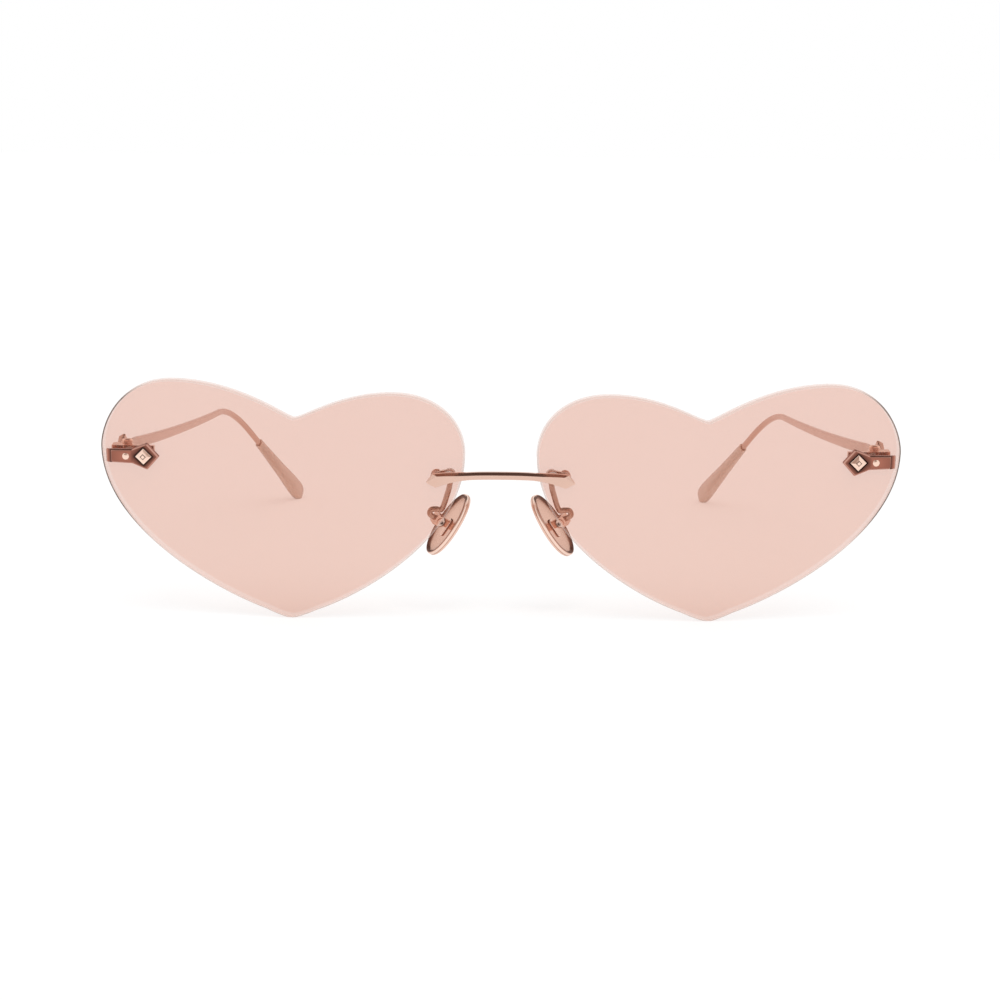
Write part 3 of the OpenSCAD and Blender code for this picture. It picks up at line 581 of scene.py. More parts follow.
def rgb(r, g, b):
    """A colour from its screen values out of 255."""
    c = np.array([r, g, b]) / 255
    linear = np.where(c <= 0.04045, c / 12.92, ((c + 0.055) / 1.055) ** 2.4)
    return (*linear.tolist(), 1.0)


def add_floor():
    """A wide floor that cameras, metal and glass see as white, apart from the shadows on it."""
    material, f = finish_named("pale_floor")
    paper = f.node("ShaderNodeBsdfDiffuse", None, {"Color": (0.86, 0.86, 0.86, 1)})
    glow = f.node("ShaderNodeEmission", None, {"Color": WHITE, "Strength": 1.22})
    f.end(f.node("ShaderNodeMixShader", None, {0: f.seen() * 0.5, 1: paper, 2: glow}))
    mesh = bpy.data.meshes.new("floor")
    reach, z = 6.0, -0.00004
    corners = np.array([[-1, -1, 0], [1, -1, 0], [1, 1, 0], [-1, 1, 0]]) * reach + [0, 0, z]
    mesh.from_pydata(corners.tolist(), [], [(0, 1, 2, 3)])
    mesh.materials.append(material)
    floor = placed("floor", mesh)


def add_light():
    """A white room, and one wide soft lamp from the front and above. In metal and glass the room has a
    dim patch in front, high up, and a dark ceiling."""
    world = bpy.data.worlds.new("studio")
    bpy.context.scene.world = world
    world.use_nodes = True
    f = Finish(world.node_tree)
    grey, dim, dark = (0.62, 0.62, 0.62, 1), (0.42, 0.33, 0.30, 1), (0.11, 0.075, 0.065, 1)
    way = f.node("ShaderNodeTexCoord", None, None, "Generated")
    up = f.node("ShaderNodeSeparateXYZ", None, {0: way}, "Z")
    towards = {0: way, 1: (-0.14, -0.93, 0.34)}
    front = f.node("ShaderNodeVectorMath", {"operation": "DOT_PRODUCT"}, towards, "Value")
    room = f.mixed(f.band(front, 0.78, 0.93), WHITE, dim)
    room = f.mixed(f.band(up, 0.76, 0.90), room, dark)
    colour = f.mixed(f.seen(), grey, room)
    back = f.node("ShaderNodeBackground", None, {"Color": colour, "Strength": 1.0})
    f.node("ShaderNodeOutputWorld", None, {"Surface": back})
    sun = bpy.data.lights.new("soft_lamp", "SUN")
    sun.energy = 1.5
    sun.angle = np.radians(50)
    lamp = placed("soft_lamp", sun)
    lamp.rotation_euler = (np.radians(30), np.radians(8), 0)
    lamp.visible_glossy = False


# Finishes


def plated(name, colour, worn, dark, rough, highlight_rgb=(255, 232, 218)):
    """Polished plate: faint clouds of polish and fine hairlines, painted shade in the dark colour, rougher
    and less metallic, where the form is marked above zero, and a painted highlight where it is marked
    below."""
    material, f = finish_named(name)
    clouds, hairs = f.noise(260, 3.0), f.noise(1500, 2.0, (1, 0.15, 1))
    mark = f.mark()
    # deep carries the painted shade, and the band of the marks below zero the painted highlight.
    deep, painted_highlight = mark | 0.0, f.band(0.0 - mark, 0.0, 1.0)
    base = f.mixed(clouds * 0.5, colour, worn)
    base = f.mixed(deep, f.mixed(painted_highlight, base, rgb(*highlight_rgb)), dark)
    roughness = rough + clouds * 0.10 + hairs * 0.05 + deep * 0.25
    f.surface({
        "Base Color": base,
        "Metallic": 1.0 - deep * 0.35,
        "Roughness": roughness,
        "Normal": f.bump(hairs, 0.000004),
    })
    return material


def speckled(name, colour, dark):
    """Plate struck all over with fine dents, darker in the dents."""
    material, f = finish_named(name)
    dents = f.node("ShaderNodeTexVoronoi", None, {"Vector": f.place(), "Scale": 2600.0}, "Distance")
    hollow = 1.0 - f.band(dents, 0.1, 0.6)
    f.surface({
        "Base Color": f.mixed(hollow * 0.7, colour, dark),
        "Metallic": 1.0,
        "Roughness": 0.25 + hollow * 0.2,
        "Normal": f.bump(dents, 0.00004),
    })
    return material


def tinted_lens():
    """A see-through tint, warmer towards the point, under a thin film that is stronger at a slant."""
    material, f = finish_named("lens_tint")
    height = f.node("ShaderNodeSeparateXYZ", None, {0: f.place()}, "Z")
    low = 1.0 - f.band(height, 0.0, 0.03)
    film = f.mixed(low, rgb(238, 172, 146), rgb(236, 172, 136))
    film = f.mixed(f.noise(60, 1.0) * 0.3, film, rgb(240, 180, 160))
    slant = f.node("ShaderNodeLayerWeight", None, {"Blend": 0.5}, "Facing") ** 5.0
    values = {"Base Color": film, "Roughness": 0.06}
    f.coated((0.920, 0.813, 0.775, 1), values, 0.12 + slant * 0.5)
    return material


def lens_edge_painted_reflection():
    """The lens's polished edge, nearly clear, with a soft brown line of painted dark reflection where the
    form is marked.
    """
    material, f = finish_named("lens_edge_painted_reflection")
    # dark is the strength of the painted dark reflection: the mark, with a little noise.
    dark = f.mark() * (0.8 + f.noise(300, 2.0) * 0.4)
    values = {
        "Base Color": f.mixed(dark, rgb(244, 208, 194), rgb(96, 68, 52)),
        "Roughness": 0.08 + dark * 0.3,
    }
    f.coated((0.985, 0.962, 0.953, 1), values, 0.22 + dark * 0.65)
    return material


def clear_plastic():
    """Soft clear plastic of the sleeves and washers, slightly milky."""
    material, f = finish_named("clear_sleeve")
    milk = f.noise(1200, 2.0)
    f.surface({
        "Base Color": f.mixed(milk, rgb(244, 232, 226), rgb(228, 208, 198)),
        "Alpha": 0.35 + milk * 0.15,
        "Roughness": 0.18 + milk * 0.1,
    })
    return material


def blush_acetate():
    """Milky blush acetate with soft marbling, fine unevenness and a thin gloss on top."""
    material, f = finish_named("blush_acetate")
    swirl = f.noise(90, 3.0, (1, 0.35, 1))
    base = f.mixed(f.band(swirl, 0.35, 0.7), rgb(230, 202, 184), rgb(218, 184, 164))
    f.surface({
        "Base Color": base,
        "Alpha": 0.70 + swirl * 0.12,
        "Roughness": 0.08 + swirl * 0.06,
        "Coat Weight": 0.6,
        "Normal": f.bump(f.noise(500, 2.0), 0.000008),
    })
    return material


ROSE = plated("rose_gold_plate", rgb(228, 194, 178), rgb(214, 174, 156), rgb(60, 26, 14), 0.08)
# The temples' rose gold, painted darker as a shaded copy of the plate.
SHADED = plated("rose_gold_temples_painted_shade", rgb(204, 168, 152), rgb(186, 150, 134), rgb(60, 26, 14), 0.10)
# The ornaments' rose gold, painted darker to stand for a dark reflection in front of them.
PAINTED_DARK_ROSE = plated("rose_gold_painted_dark_reflection", rgb(180, 116, 98), rgb(146, 90, 74), rgb(44, 16, 8), 0.10, (240, 204, 188))
# The pad wires' rose gold, painted darker as a shaded copy, for the dark room that they reflect.
SHADED_WIRE = plated("wire_plate_painted_shade", rgb(186, 152, 136), rgb(164, 130, 114), rgb(70, 40, 28), 0.10)
PALE = plated("pale_gold_plate", rgb(252, 222, 204), rgb(240, 196, 176), rgb(84, 42, 26), 0.12)
DISH = plated("pad_plate", rgb(234, 190, 170), rgb(212, 162, 142), rgb(84, 42, 28), 0.14)
SATIN = plated("satin_gold_plate", rgb(250, 216, 198), rgb(238, 194, 174), rgb(110, 66, 50), 0.30)
SPECKLED = speckled("speckled_plate", rgb(228, 190, 172), rgb(136, 88, 70))
LENS, LENS_EDGE_PAINTED_REFLECTION = tinted_lens(), lens_edge_painted_reflection()
CLEAR = clear_plastic()
BLUSH = blush_acetate()


# Lenses and what holds them


def heart():
    """Closed outline of the heart: cubic stretches between points, in shares of the width and height. A
    row holds a point, and the steps from it to the handles before and after it."""
    rows = np.array([
        [[0.482, 0], [-0.012, 0], [0.012, 0]],
        [[0.550, 0.036], [-0.030, -0.022], [0.155, 0.084]],
        [[1, 0.713], [0, -0.340], [0, 0.090]],
        [[0.799, 1], [0.150, 0], [-0.180, 0]],
        [[0.468, 0.851], [0.020, 0], [-0.025, 0]],
        [[0.194, 0.962], [0.145, 0], [-0.122, 0]],
        [[0, 0.713], [0, 0.135], [0, -0.350]],
        [[0.412, 0.036], [-0.130, 0.072], [0.030, -0.022]],
    ])
    on = np.roll(rows, -1, 0)
    start, end = rows[:, 0], on[:, 0]
    return cubics(start, start + rows[:, 2], end + on[:, 1], end, 36) * [LENS_W, LENS_H]


def bore_places():
    """The four bores of a lens, across and up."""
    return [(OUTER_X, OUTER_H), (TAIL_X, OUTER_H), *zip(NASAL_XS, NASAL_ZS)]


def round_back(rows, x, z, sides=36):
    """Rows of (radius, distance back, mark) turned about a line straight back at a place on the lens."""
    return revolved(rows, sides).by(shift(x, 0, z) @ FACE_ON)


def post(start, end):
    """Rows of a plain round post with a small chamfer at each end."""
    thin = POST_R - SOFT
    return [(thin, start, 0), (POST_R, start + SOFT, 0), (POST_R, end - SOFT, 0), (thin, end, 0)]


def add_lenses():
    """Flat hearts with polished round edges and four bores each. A brown line of painted dark reflection
    runs along the front of the edge, strongest at its outer side. The points end flat where they touch the
    ground."""
    outline = heart()
    edge = rounded_edge(LENS_T, LENS_ROUND, 4)
    # The marks paint a dark reflection along the front round and the top of the edge's wall, strongest
    # towards the outer side.
    edge[:, 2] = (0, 1, 1, 1, 1, 1, 0, 0, 0, 0, 0, 0)
    edge = np.insert(edge, 6, [0, PAINTED_REFLECTION_DEPTH, 0.5], 0)
    holes = [bore(HOLE_R, LENS_T, at, 0.4) for at in bore_places()]
    form = slab(outline, edge, holes)
    outer = (form.points[:, 0] / LENS_W - PAINTED_REFLECTION_FROM) / PAINTED_REFLECTION_FADE
    form.marks *= np.clip(outer, PAINTED_REFLECTION_LEAST, 1)
    form = form.by(FACE_ON)
    rim = len(outline) * (len(edge) - 1)
    for side, sign in SIDES:
        lens = form.by(on_side(sign) @ AT_LENS)
        lens.points[:, 2] = np.maximum(lens.points[:, 2], 0)
        piece = make(f"heart_lens_{side}", "front", lens, LENS, [f"lens_{side}"])
        piece.data.materials.append(LENS_EDGE_PAINTED_REFLECTION)
        is_rim = np.arange(len(piece.data.polygons)) < rim
        piece.data.polygons.foreach_set("material_index", is_rim.astype(np.int32))


def bar_back(x):
    """Where the bridge's flat back stands, so that it lies along the washers."""
    wrap = np.radians(WRAP)
    return np.maximum(0, x - LENS_GAP / 2) * np.tan(wrap) - COLLAR_T / np.cos(wrap)


def half_bridge():
    """Sections of the bridge from its middle to its point: six corners, each at its own distance along.
    Shares of the way, growth from bar to gem, depth and height of the front ridge stand in a table, and
    the bar drops by the cube of the way."""
    shares = np.array([
        [0, 0, 1, 0.34], [0.25, 0, 1, 0.34], [0.50, 0, 1, 0.36],
        [0.66, 0.16, 1.02, 0.40], [0.82, 0.55, 1.06, 0.50], [1, 1, 1.1, 0.64],
    ])
    way = np.linspace(0, 1, 33)
    grow, depth, ridge = (np.interp(way, shares[:, 0], shares[:, k]) for k in (1, 2, 3))
    x = way[:, None] * (BRIDGE_HALF - np.array(GEM_INSETS))
    half, depth = (BAR_H + (GEM_H - BAR_H) * grow) / 2, BAR_T * depth
    x = np.vstack([x, np.full(6, BRIDGE_HALF)])
    half = np.append(half, GEM_H / 2 * 0.12)
    depth = np.append(depth, BAR_T * 0.45)
    ridge = np.append(ridge, 0)
    one = np.ones_like(ridge)
    high = np.stack([0.8 * one, one, 0.93 * one, ridge, -one, -0.8 * one], 1)
    y = bar_back(x) - depth[:, None] * np.array([0, 0.34, 0.6, 1, 0.42, 0])
    z = BRIDGE_H - BAR_DROP * (x / BRIDGE_HALF) ** 3 + half[:, None] * high
    return np.stack([x, y, z], -1)


def add_bridge():
    """A faceted bar whose ends are cut like gems, with two posts through each lens."""
    half = half_bridge()
    bar = lattice(np.concatenate([half[:0:-1] * [-1, 1, 1], half])).by(STAND)
    places = zip(NASAL_XS, NASAL_ZS, (FOOT_Y, FOOT_Y + NUT_H / 2))
    posts = on_both(together(round_back(post(-BAR_ROOT, end), x, z) for x, z, end in places), AT_LENS)
    make("bridge_bar", "front", bar + posts, ROSE, ["bridge"], sharp=12, bevel=SOFT)


def add_nuts():
    """Acorn nuts: a collar, a waist and a smooth dome."""
    a = np.radians(np.linspace(0, 82, 9))
    dome = np.stack([0.96 * np.cos(a), 0.56 + 0.74 * np.sin(a), np.zeros(9)], 1)
    # The marks paint shade in the waist.
    rows = np.array([
        (POST_R, 0, 0), (0.98, 0, 0), (NUT_R, 0.07, 0), (NUT_R, 0.3, 0),
        (0.98, 0.38, 0.2), (NUT_WAIST, 0.44, 0.5), (0.94, 0.5, 0.2), *dome,
    ]) + [0, FOOT_Y, 0]
    nuts = round_back(rows, OUTER_X, OUTER_H, 48) + round_back(rows, NASAL_XS[1], NASAL_ZS[1], 48)
    make("acorn_nuts", "front", on_both(nuts, AT_LENS), SATIN, ["cap_nuts"])


def add_tail_screws():
    """Small screws through the ornaments' tails, with round shining heads."""
    top = -COLLAR_T - ORNAMENT_T
    a = np.radians(np.linspace(10, 85, 7))
    dome = np.stack([TAIL_HEAD_R * np.sin(a), top - 0.26 * np.cos(a), np.zeros(7)], 1)
    # The marks paint shade under the head's rim and on the shank just below it.
    rows = [
        *dome, (TAIL_HEAD_R, top + 0.02, 0.4), (POST_R, top + 0.03, 1),
        (POST_R, FOOT_Y - SOFT, 0), (POST_R - SOFT, FOOT_Y, 0),
    ]
    screws = on_both(round_back(rows, TAIL_X, OUTER_H), AT_LENS)
    make("tail_screws", "front", screws, PALE, ["mount_screws"])


# Ornaments


def diamond(r, x=0.0):
    """A square on its corner."""
    return np.array([[x + r, 0], [x, r], [x - r, 0], [x, -r]])


def seat(height, x=0.0, lip=0.0):
    """The recess round a stud: a lip, and walls and a floor darkened with painted shade."""
    low = height - RECESS
    rows = [(0.03, height, lip), (0, height - 0.03, 0.8), (0, low + 0.05, 1), (-0.05, low, 1)]
    return diamond(STUD_R + GROOVE, x), rows, False, 0.12


def ornament_form():
    """The front diamond and its tail: a sloping edge with a painted highlight, a narrow lip and the stud's
    seat, then past a fine dark line the tail's falling end, with a painted highlight that grows as it
    falls."""
    t, foot = ORNAMENT_T, TAIL_L - TAIL_SLOPE
    outline = np.array([
        [-DIAMOND_POINT, 0], [-DIAMOND_R * 0.25, DIAMOND_R], [DIAMOND_R * 0.85, TAIL_H / 2 * 1.1],
        [foot, TAIL_H / 2], [foot, -TAIL_H / 2], [DIAMOND_R * 0.85, -TAIL_H / 2 * 1.1],
        [-DIAMOND_R * 0.25, -DIAMOND_R],
    ])
    # Marks: a little painted shade on the upright sides and the lip, and a painted highlight on the sloping
    # edge.
    edge = [
        (SOFT, 0, 0.3), (0, SOFT, 0.3), (0, t - 0.28, 0.3), (0.02, t - 0.24, -0.3),
        (0.22, t - 0.02, -0.4), (0.25, t, 0.25), (0.27, t, 0.25),
    ]
    screw = bore(POST_R + PLAY, t, (TAIL_X - OUTER_X, 0), 1)
    plate = slab(outline, edge, [seat(t, lip=0.8), screw], 0.16)
    near = foot - TAIL_LAP
    end = np.array([[near, -1], [TAIL_L, -1], [TAIL_L, 1], [near, 1]]) * [1, TAIL_H / 2]
    rows = [(SOFT, 0, 0), (0, SOFT, 0), (0, t - SOFT, 0), (SOFT, t, 0), (SOFT * 1.5, t, 0)]
    end = slab(end, rows, (), 0.12)
    fall = np.clip((end.points[:, 0] - foot + TAIL_LAP) / (TAIL_SLOPE + TAIL_LAP), 0, 1)
    is_high = end.points[:, 2] > t / 2
    end.points[:, 2] -= np.where(is_high, 0.03 + fall * TAIL_FALL * t, 0)
    # A fine dark line at the join, then a painted highlight that grows down the falling end.
    end.marks[:] = np.where(fall < 0.25, 0.8, -0.4 * fall)
    return plate + end


def stud_form():
    """A stud on its corner: upright sides, hollow slopes and a small framed top. Its rows hold a square's
    radius, height, the share to which the middle of each side is drawn in, and a mark."""
    base = STUD_H - RECESS
    # The marks paint shade at the foot of the sides, down in the seat, and in the fine groove that frames
    # the top.
    rows = np.array([
        [STUD_R - 0.03, 0, 1, 1], [STUD_R, 0.05, 1, 0.6], [STUD_R, base - 0.05, 1, 0],
        [STUD_R - 0.06, base, 1, 0], [1.2, base + 0.07, 0.97, 0], [0.85, base + 0.2, 0.92, 0],
        [0.60, STUD_H - 0.07, 0.94, 0], [0.54, STUD_H - 0.05, 0.97, 0.5], [0.50, STUD_H - 0.11, 1, 1],
        [0.44, STUD_H - 0.11, 1, 1], [0.39, STUD_H - 0.02, 1, 0.3], [0.34, STUD_H, 1, 0],
    ])
    corner = np.radians(np.arange(0, 360, 90.0))[:, None]
    along = np.linspace(0, 1, 8, endpoint=False)
    a = np.stack([np.cos(corner), np.sin(corner)], -1)
    b = np.roll(a, -1, 0)
    flat = (a * (1 - along[None, :, None]) + b * along[None, :, None]).reshape(-1, 2)
    hollow = np.tile(1 - np.abs(2 * along - 1), 4)
    pull = 1 - (1 - rows[:, 2:3]) * hollow[None, :]
    xy = flat[None] * rows[:, :1, None] * pull[..., None]
    z = np.broadcast_to(rows[:, 1, None, None], (*xy.shape[:2], 1))
    return lattice(np.concatenate([xy, z], -1), rows[:, 3])


def add_ornaments():
    """The diamonds on the fronts of the lenses, each with its post, and their studs."""
    plate, stud = ornament_form(), stud_form()
    shaft = round_back(post(-ORNAMENT_ROOT, FOOT_Y + NUT_H / 2), OUTER_X, OUTER_H)
    for side, sign in SIDES:
        lens = on_side(sign) @ AT_LENS
        at = lens @ shift(OUTER_X, -COLLAR_T, OUTER_H) @ TO_FRONT
        in_seat = at @ shift(0, 0, ORNAMENT_T - RECESS)
        make(f"diamond_frame_{side}", "front", plate.by(at) + shaft.by(lens), PAINTED_DARK_ROSE,
             [f"front_ornament_{side}"], sharp=24)
        make(f"diamond_stud_{side}", "front", stud.by(in_seat), PALE,
             [f"front_stud_{side}"], sharp=18)


# Hinges and temples


def add_hinges():
    """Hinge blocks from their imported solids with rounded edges, and slotted screws put in from above."""
    edge = [
        (0.03, 0, 0), (0, 0.03, 0), (0, 0.2, 0), (0.06, 0.3, 0), (0.16, 0.37, 0),
        (0.28, HEAD_H, 0), (0.31, HEAD_H, 0),
    ]
    slot = np.array([[-1, -1], [1, -1], [1, 1], [-1, 1]]) * [SLOT_HALF, SLOT_W / 2]
    # The slot's walls and floor carry painted shade.
    slot = slot, [(0, HEAD_H, 0.4), (0, SLOT_FLOOR, 1)], False, 0
    head = slab(circle(HEAD_R, 48), edge, [slot])
    low, high = -STACK_H / 2, STACK_H / 2
    pin = revolved([(SCREW_R - SOFT, low, 0), (SCREW_R, low + SOFT, 0), (SCREW_R, high, 0)], 36)
    screw = head.by(shift(0, 0, high)) + pin
    make("hinge_pins", "front", on_both(screw, AT_HINGE), PALE, ["hinge_screws"])
    for side, _ in SIDES:
        softened(f"hinge_block_{side}", "front", f"endpiece_{side}", ROSE, 0.09)


def drop_line():
    """The corner where a temple's blade and drop would meet, and the way that the drop runs."""
    a, b = np.radians(DROP_IN), np.radians(DROP_DOWN)
    way = np.array([-np.sin(a) * np.cos(b), np.cos(a) * np.cos(b), -np.sin(b)])
    return np.array([PLATE_X + PLATE_T / 2, BLADE_L, 0]), way


def core_form():
    """Blade, bend and the core of the tip: rounded boxes along a straight line with a slight dip, a
    parabola round the bend, and a straight drop. The blade thins along its way, and the core to its end."""
    corner, way = drop_line()
    start, end = corner - [0, BEND_L, 0], corner + way * BEND_L
    t = np.linspace(-0.007, 1, 40)
    y, dip = SHOULDER + (start[1] - SHOULDER) * t, BLADE_DIP * 4 * t * (1 - t)
    blade = np.stack([np.full(40, corner[0]), y, -dip], 1)
    s = np.linspace(0, 1, 25)[1:, None]
    bend = start * (1 - s) ** 2 + corner * 2 * s * (1 - s) + end * s * s
    bend_way = unit((1 - s) * np.array([0, 1.0, 0]) + s * way)
    lengths = np.array([DROP_L - TIP_L, DROP_L - TIP_L * 0.2, DROP_L - TIP_L * 0.18])
    path = np.vstack([blade, bend, corner + way * lengths[:, None]])
    ways = np.vstack([np.tile([0, 1.0, 0], (40, 1)), bend_way, np.tile(way, (3, 1))])
    rest = np.append(np.ones(25), [0.74, 0.6])
    wide = np.concatenate([BLADE_T + (CORE_T - BLADE_T) * t**2, CORE_T * rest]) / 2
    tall = np.concatenate([BLADE_H + (CORE_H - BLADE_H) * t, CORE_H * rest]) / 2
    wide[0], tall[0] = wide[0] * 0.85, tall[0] * 0.85
    return lattice(stood(squared_ring(wide, tall), path, ways))


def plate_form():
    """The plate between hinge and blade: a block, the diamond with its seat, a neck and the shoulder."""
    block, gem, neck, neck_end = SHOULDER * np.array([0.16, SEAT_AT, 0.47, 0.72])
    top = np.array([
        [0.04, BLOCK_H / 2], [block, BLOCK_H / 2], [gem, DIAMOND_R], [neck, NECK_H / 2],
        [neck_end, NECK_H / 2], [SHOULDER, BLADE_H / 2 - 0.12], [SHOULDER + 0.6, BLADE_H / 2 - 0.45],
    ])
    outline = np.vstack([top, top[::-1] * [1, -1]])
    edge = [
        (0.14, 0, 0), (0.1, 0, 0), (0, 0.1, 0), (0, 0.4, 0),
        (0.33, PLATE_T - 0.02, 0), (0.36, PLATE_T, 0), (0.38, PLATE_T, 0),
    ]
    return slab(outline, edge, [seat(PLATE_T, gem)], 0.1).by(shift(PLATE_X, 0, 0) @ TO_SIDE)


def tongue_form():
    """The temple's own barrel, bored for the screw, and the tab that joins it to the plate."""
    r, h, hole, soft = BARREL_R, TONGUE_H / 2, SCREW_R + PLAY, 0.05
    rows = [(hole, -h), (r - soft, -h), (r, soft - h), (r, h - soft), (r - soft, h), (hole, h)]
    barrel = revolved(np.insert(rows, 2, 0, 1), 40, True)
    near, far = 0.7, PLATE_X + 0.3
    tab = slab([[near, 0.02], [far, 0.02], [far, r], [near, r]], rounded_edge(TONGUE_H, soft))
    return barrel + tab.by(shift(0, 0, -h))


def tip_form():
    """Acetate sleeve: a socket round the core, then rounded boxes that widen into a paddle and close. A
    row of shares holds the place along, how far it has widened, and the size there."""
    corner, way = drop_line()
    mouth = DROP_L - TIP_L
    shares = smooth_rows([
        [0, 0, 0.92], [0.02, 0, 1], [0.25, 0.22, 1], [0.50, 0.52, 1], [0.72, 0.86, 1],
        [0.86, 1, 1], [0.93, 1, 0.93], [0.975, 1, 0.74], [1, 1, 0.40],
    ], 8)
    grow, size = np.clip(shares[:, 1], 0, 1), np.minimum(shares[:, 2], 1)
    half_sizes = []
    for k, core in enumerate((CORE_T, CORE_H)):
        box = (TIP_MOUTH[k] + (TIP_SIZE[k] - TIP_MOUTH[k]) * grow) / 2 * size
        socket = [core * 0.35 + TIP_PLAY, core / 2 + TIP_PLAY]
        half_sizes.append(np.append(socket, box))
    deep = mouth + TIP_L * SOCKET + TIP_PLAY
    lengths = np.concatenate([[deep, mouth], mouth + TIP_L * shares[:, 0]])
    path = corner + way * lengths[:, None]
    rings = squared_ring(*half_sizes, 40)
    return lattice(stood(rings, path, np.tile(way, (len(path), 1))))


def add_temples():
    """Both temples with their side studs and tips."""
    arm, tip = plate_form() + core_form() + tongue_form(), tip_form()
    at_seat = shift(PLATE_X + PLATE_T - RECESS, SHOULDER * SEAT_AT, 0)
    stud = stud_form().by(at_seat @ TO_SIDE)
    for side, sign in SIDES:
        at, body = on_side(sign) @ AT_HINGE, f"temple_{side}"
        make(f"temple_arm_{side}", body, arm.by(at), SHADED,
             [f"temple_{side}"], sharp=24)
        make(f"side_stud_{side}", body, stud.by(at), SPECKLED,
             [f"temple_stud_{side}"], sharp=18)
        sleeve = tip.by(at)
        sleeve.points[:, 2] = np.maximum(sleeve.points[:, 2], 0)
        make(f"blush_tip_{side}", body, sleeve, BLUSH, [f"temple_tip_{side}"])


# Nose pads


def pad_turn(v):
    """A vector of the pad's frame in the front's frame."""
    return AT_PAD[:3, :3] @ v


def arm_form():
    """A round wire along a smooth curve from behind the lens out, back and down to the pad's box. The
    first knots are shares of the way to its end, and those of the loop are steps in the pad's frame."""
    end = np.array(PAD_AT) + pad_turn([WEB_OUT, 0, 0])
    start = [NASAL_XS[0], LENS_T + COLLAR_T + ARM_R, NASAL_ZS[0] - BAR_H * 0.25]
    start = carried(start, AT_LENS)
    straight = np.array([[0, 0, 0], [0.03, 0.16, 0.20], [0.20, 0.52, 0.46]])
    loop = np.array([[0.02, -0.56, 1.86], [0.56, -0.24, 1.36], [1.10, 0, 0.86], [0.90, 0, 0.16]])
    loop = end + ARM_LOOP * loop @ AT_PAD[:3, :3].T
    path = smooth_rows(np.vstack([start + straight * (end - start), loop, end]), 10)
    ways = np.gradient(path, axis=0)
    ways[-1] = pad_turn([-1, 0, 0])
    ways = unit(ways)
    side = unit(np.cross(ways, [0, 1.0, 0]))
    up = np.cross(side, ways)
    t = np.linspace(0, 2 * np.pi, 24, endpoint=False)[None, :, None]
    return lattice(path[:, None] + (side[:, None] * np.cos(t) - up[:, None] * np.sin(t)) * ARM_R)


def foot_form():
    """The wire's foot behind the lens: a strap with round ends, painted bright all over, bored for the
    bridge's posts.
    """
    places = np.stack([NASAL_XS, NASAL_ZS], 1)
    along = unit(places[1] - places[0])
    across = np.array([-along[1], along[0]])
    t = np.radians(np.linspace(90, 270, 16))[:, None]
    r = BAR_H / 2
    one = places[0] + r * (np.cos(t) * along + np.sin(t) * across)
    two = places[1] - r * (np.cos(t) * along + np.sin(t) * across)
    holes = [bore(POST_R + PLAY, FOOT_T, p) for p in places]
    strap = slab(np.vstack([one, two]), rounded_edge(FOOT_T, 0.05), holes)
    # Marked below zero all over: a painted highlight.
    return strap.by(shift(0, LENS_T + COLLAR_T, 0) @ FACE_ON).marked(-0.6)


def box_form():
    """The box that holds the pad: two bored cheeks with round noses, and the web between them, which laps
    into both."""
    t = np.radians(np.linspace(90, 270, 18))
    r, low, lap = BOX_H / 2, -BOX_W / 2, 0.05
    nose = np.stack([PIVOT_OUT + r * np.cos(t), r * np.sin(t)], 1)
    outline = np.vstack([nose, [[WEB_OUT, -r], [WEB_OUT, r]]])
    hole = bore(PAD_SCREW_R + PLAY, BOX_WALL, (PIVOT_OUT, 0))
    cheek = slab(outline, rounded_edge(BOX_WALL, 0.08), [hole]).by(FACE_ON)
    near = WEB_OUT - BOX_WALL
    edge = rounded_edge(BOX_W - 2 * BOX_WALL + 2 * lap, 0.03)
    web = slab([[near, -r], [WEB_OUT, -r], [WEB_OUT, r], [near, r]], edge).by(FACE_ON)
    web = web.by(shift(0, low + BOX_WALL - lap, 0))
    return cheek.by(shift(0, low, 0)) + cheek.by(shift(0, -low - BOX_WALL, 0)) + web


def pad_screw_form():
    """A screw through the box, its head a polished ring round a socket darkened with painted shade."""
    edge = [(0.02, 0, 0), (0, 0.03, 0), (0, 0.13, 0), (0.06, 0.21, 0), (0.16, 0.25, 0), (0.2, 0.25, 0)]
    socket = circle(PAD_SOCKET_R, 24), [(-0.05, 0.25, 0.2), (0, 0.2, 0.7), (0, 0.1, 0.7)], False, 0
    head = slab(circle(PAD_HEAD_R, 40), edge, [socket])
    r, far = PAD_SCREW_R, BOX_W / 2
    shaft = round_back([(r, -far, 0), (r, far - 0.04, 0), (r - 0.04, far, 0)], PIVOT_OUT, 0, 30)
    return head.by(shift(PIVOT_OUT, -far, 0) @ TO_FRONT) + shaft


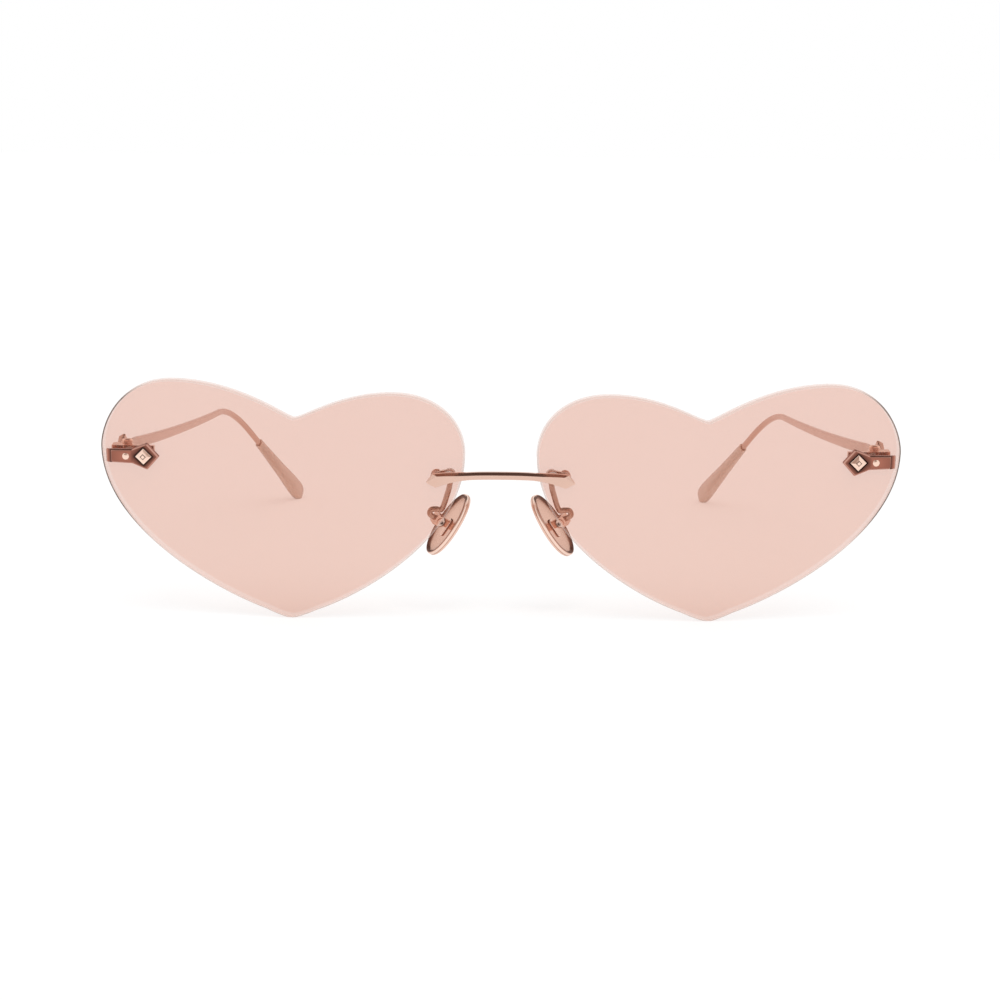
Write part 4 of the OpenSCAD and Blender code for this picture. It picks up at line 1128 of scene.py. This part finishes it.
def dish_form():
    """A pad: ovals at rows of scale, inset, height and mark, from the middle of its smooth back, round the
    thick rim and down into the dish. The ovals are wider towards their lower end."""
    h = PAD_T / 2
    # Marks: a painted highlight round the outside of the rim, and painted shade in the fine crease along
    # its middle and from the crest down the inner slope into the dish.
    rows = np.array([
        [0.15, 0.4, -h, 0], [0.55, 0.4, -h, 0], [0.85, 0.4, -h + 0.01, 0], [1, 0.42, -h + 0.03, 0],
        [1, 0.22, -h + 0.12, 0], [1, 0.08, -h + 0.26, -0.3], [1, 0, -h + 0.45, -0.4], [1, 0, -0.08, -0.2],
        [1, 0.04, -0.03, 0.5], [1, 0.04, 0.03, 0.5], [1, 0, 0.08, -0.3], [1, 0, h - 0.4, -0.6],
        [1, 0.05, h - 0.2, -0.7], [1, 0.13, h - 0.07, -0.5], [1, 0.25, h, 0.7], [1, 0.42, h - 0.03, 1],
        [1, 0.56, h - 0.13, 0.8], [1, 0.68, h - 0.32, 0.7], [1, 0.8, h - 0.46, 0.4],
        [1, 0.98, h - 0.54, 0.2], [0.82, 1.05, h - 0.56, 0.08], [0.5, 1.05, h - 0.58, 0.05],
        [0.15, 1.05, h - 0.58, 0.05],
    ])
    t = np.linspace(0, 2 * np.pi, 96, endpoint=False)
    scale, trim, height = rows[:, :1], rows[:, 1:2], rows[:, 2:3]
    y = scale * (PAD_W / 2 - trim) * np.cos(t) * (1 - PAD_TAPER * np.sin(t))
    z = scale * (PAD_L / 2 - trim) * np.sin(t)
    return lattice(np.stack([np.broadcast_to(height, y.shape), y, z], -1), rows[:, 3])


def lug_form():
    """The lug behind a pad: a tongue with a round bored end that hangs on the screw."""
    width = BOX_W - 2 * BOX_WALL - 0.05
    t = np.radians(np.linspace(-90, 90, 18))
    nose = np.stack([PIVOT_OUT + LUG_R * np.cos(t), LUG_R * np.sin(t)], 1)
    outline = np.vstack([nose, [[0, LUG_R], [0, -LUG_R]]])
    hole = bore(PAD_SCREW_R + PLAY, width, (PIVOT_OUT, 0))
    return slab(outline, rounded_edge(width, SOFT), [hole]).by(shift(0, -width / 2, 0) @ FACE_ON)


def rib_form():
    """The rib along the bottom of the dish that the lug stands on: a low bar with round ends."""
    t = np.radians(np.linspace(0, 180, 12))
    top = np.stack([RIB_R * np.cos(t), RIB_UP + RIB_R * np.sin(t)], 1)
    outline = np.vstack([top, top[::-1] * [1, -1] - [0, RIB_DOWN - RIB_UP]])
    # Painted shade at the foot of its walls and a painted highlight along its rounded top.
    edge = [
        (0, 0, 0.9), (0, 0.08, 0.6), (0, 0.2, 0),
        (0.05, 0.3, -0.8), (0.12, 0.34, -0.5), (0.16, 0.34, 0),
    ]
    return slab(outline, edge).by(shift(0.04, 0, 0) @ TO_SIDE)


def add_pads():
    """Wire arms, boxes and screws on the front, and the two pads that rock on them."""
    arm, foot, box, screw = arm_form(), foot_form(), box_form(), pad_screw_form()
    pad = dish_form() + rib_form() + lug_form()
    for side, sign in SIDES:
        at = on_side(sign)
        make(f"wire_arm_{side}", "front", arm.by(at) + foot.by(at @ AT_LENS), SHADED_WIRE,
             [f"pad_arm_{side}"])
        make(f"pad_yoke_{side}", "front", box.by(at @ AT_PAD), ROSE,
             [f"pad_box_{side}"])
        make(f"dish_pad_{side}", f"nose_pad_{side}", pad.by(at @ AT_PAD), DISH,
             [f"nose_pad_{side}"], sharp=40)
    make("yoke_screws", "front", on_both(screw, AT_PAD), ROSE, ["pad_screws"])


def dress_packed():
    """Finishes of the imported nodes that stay."""
    for node, finish in (("lens_bushes", CLEAR), ("lens_washers", CLEAR), ("hinge_washers", PALE)):
        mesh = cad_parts[node].data
        mesh.materials.clear()
        mesh.materials.append(finish)


bpy.context.scene.view_settings.view_transform = "Standard"
add_camera()
add_floor()
add_light()
add_lenses()
add_bridge()
add_nuts()
add_tail_screws()
add_ornaments()
add_hinges()
add_temples()
add_pads()
dress_packed()
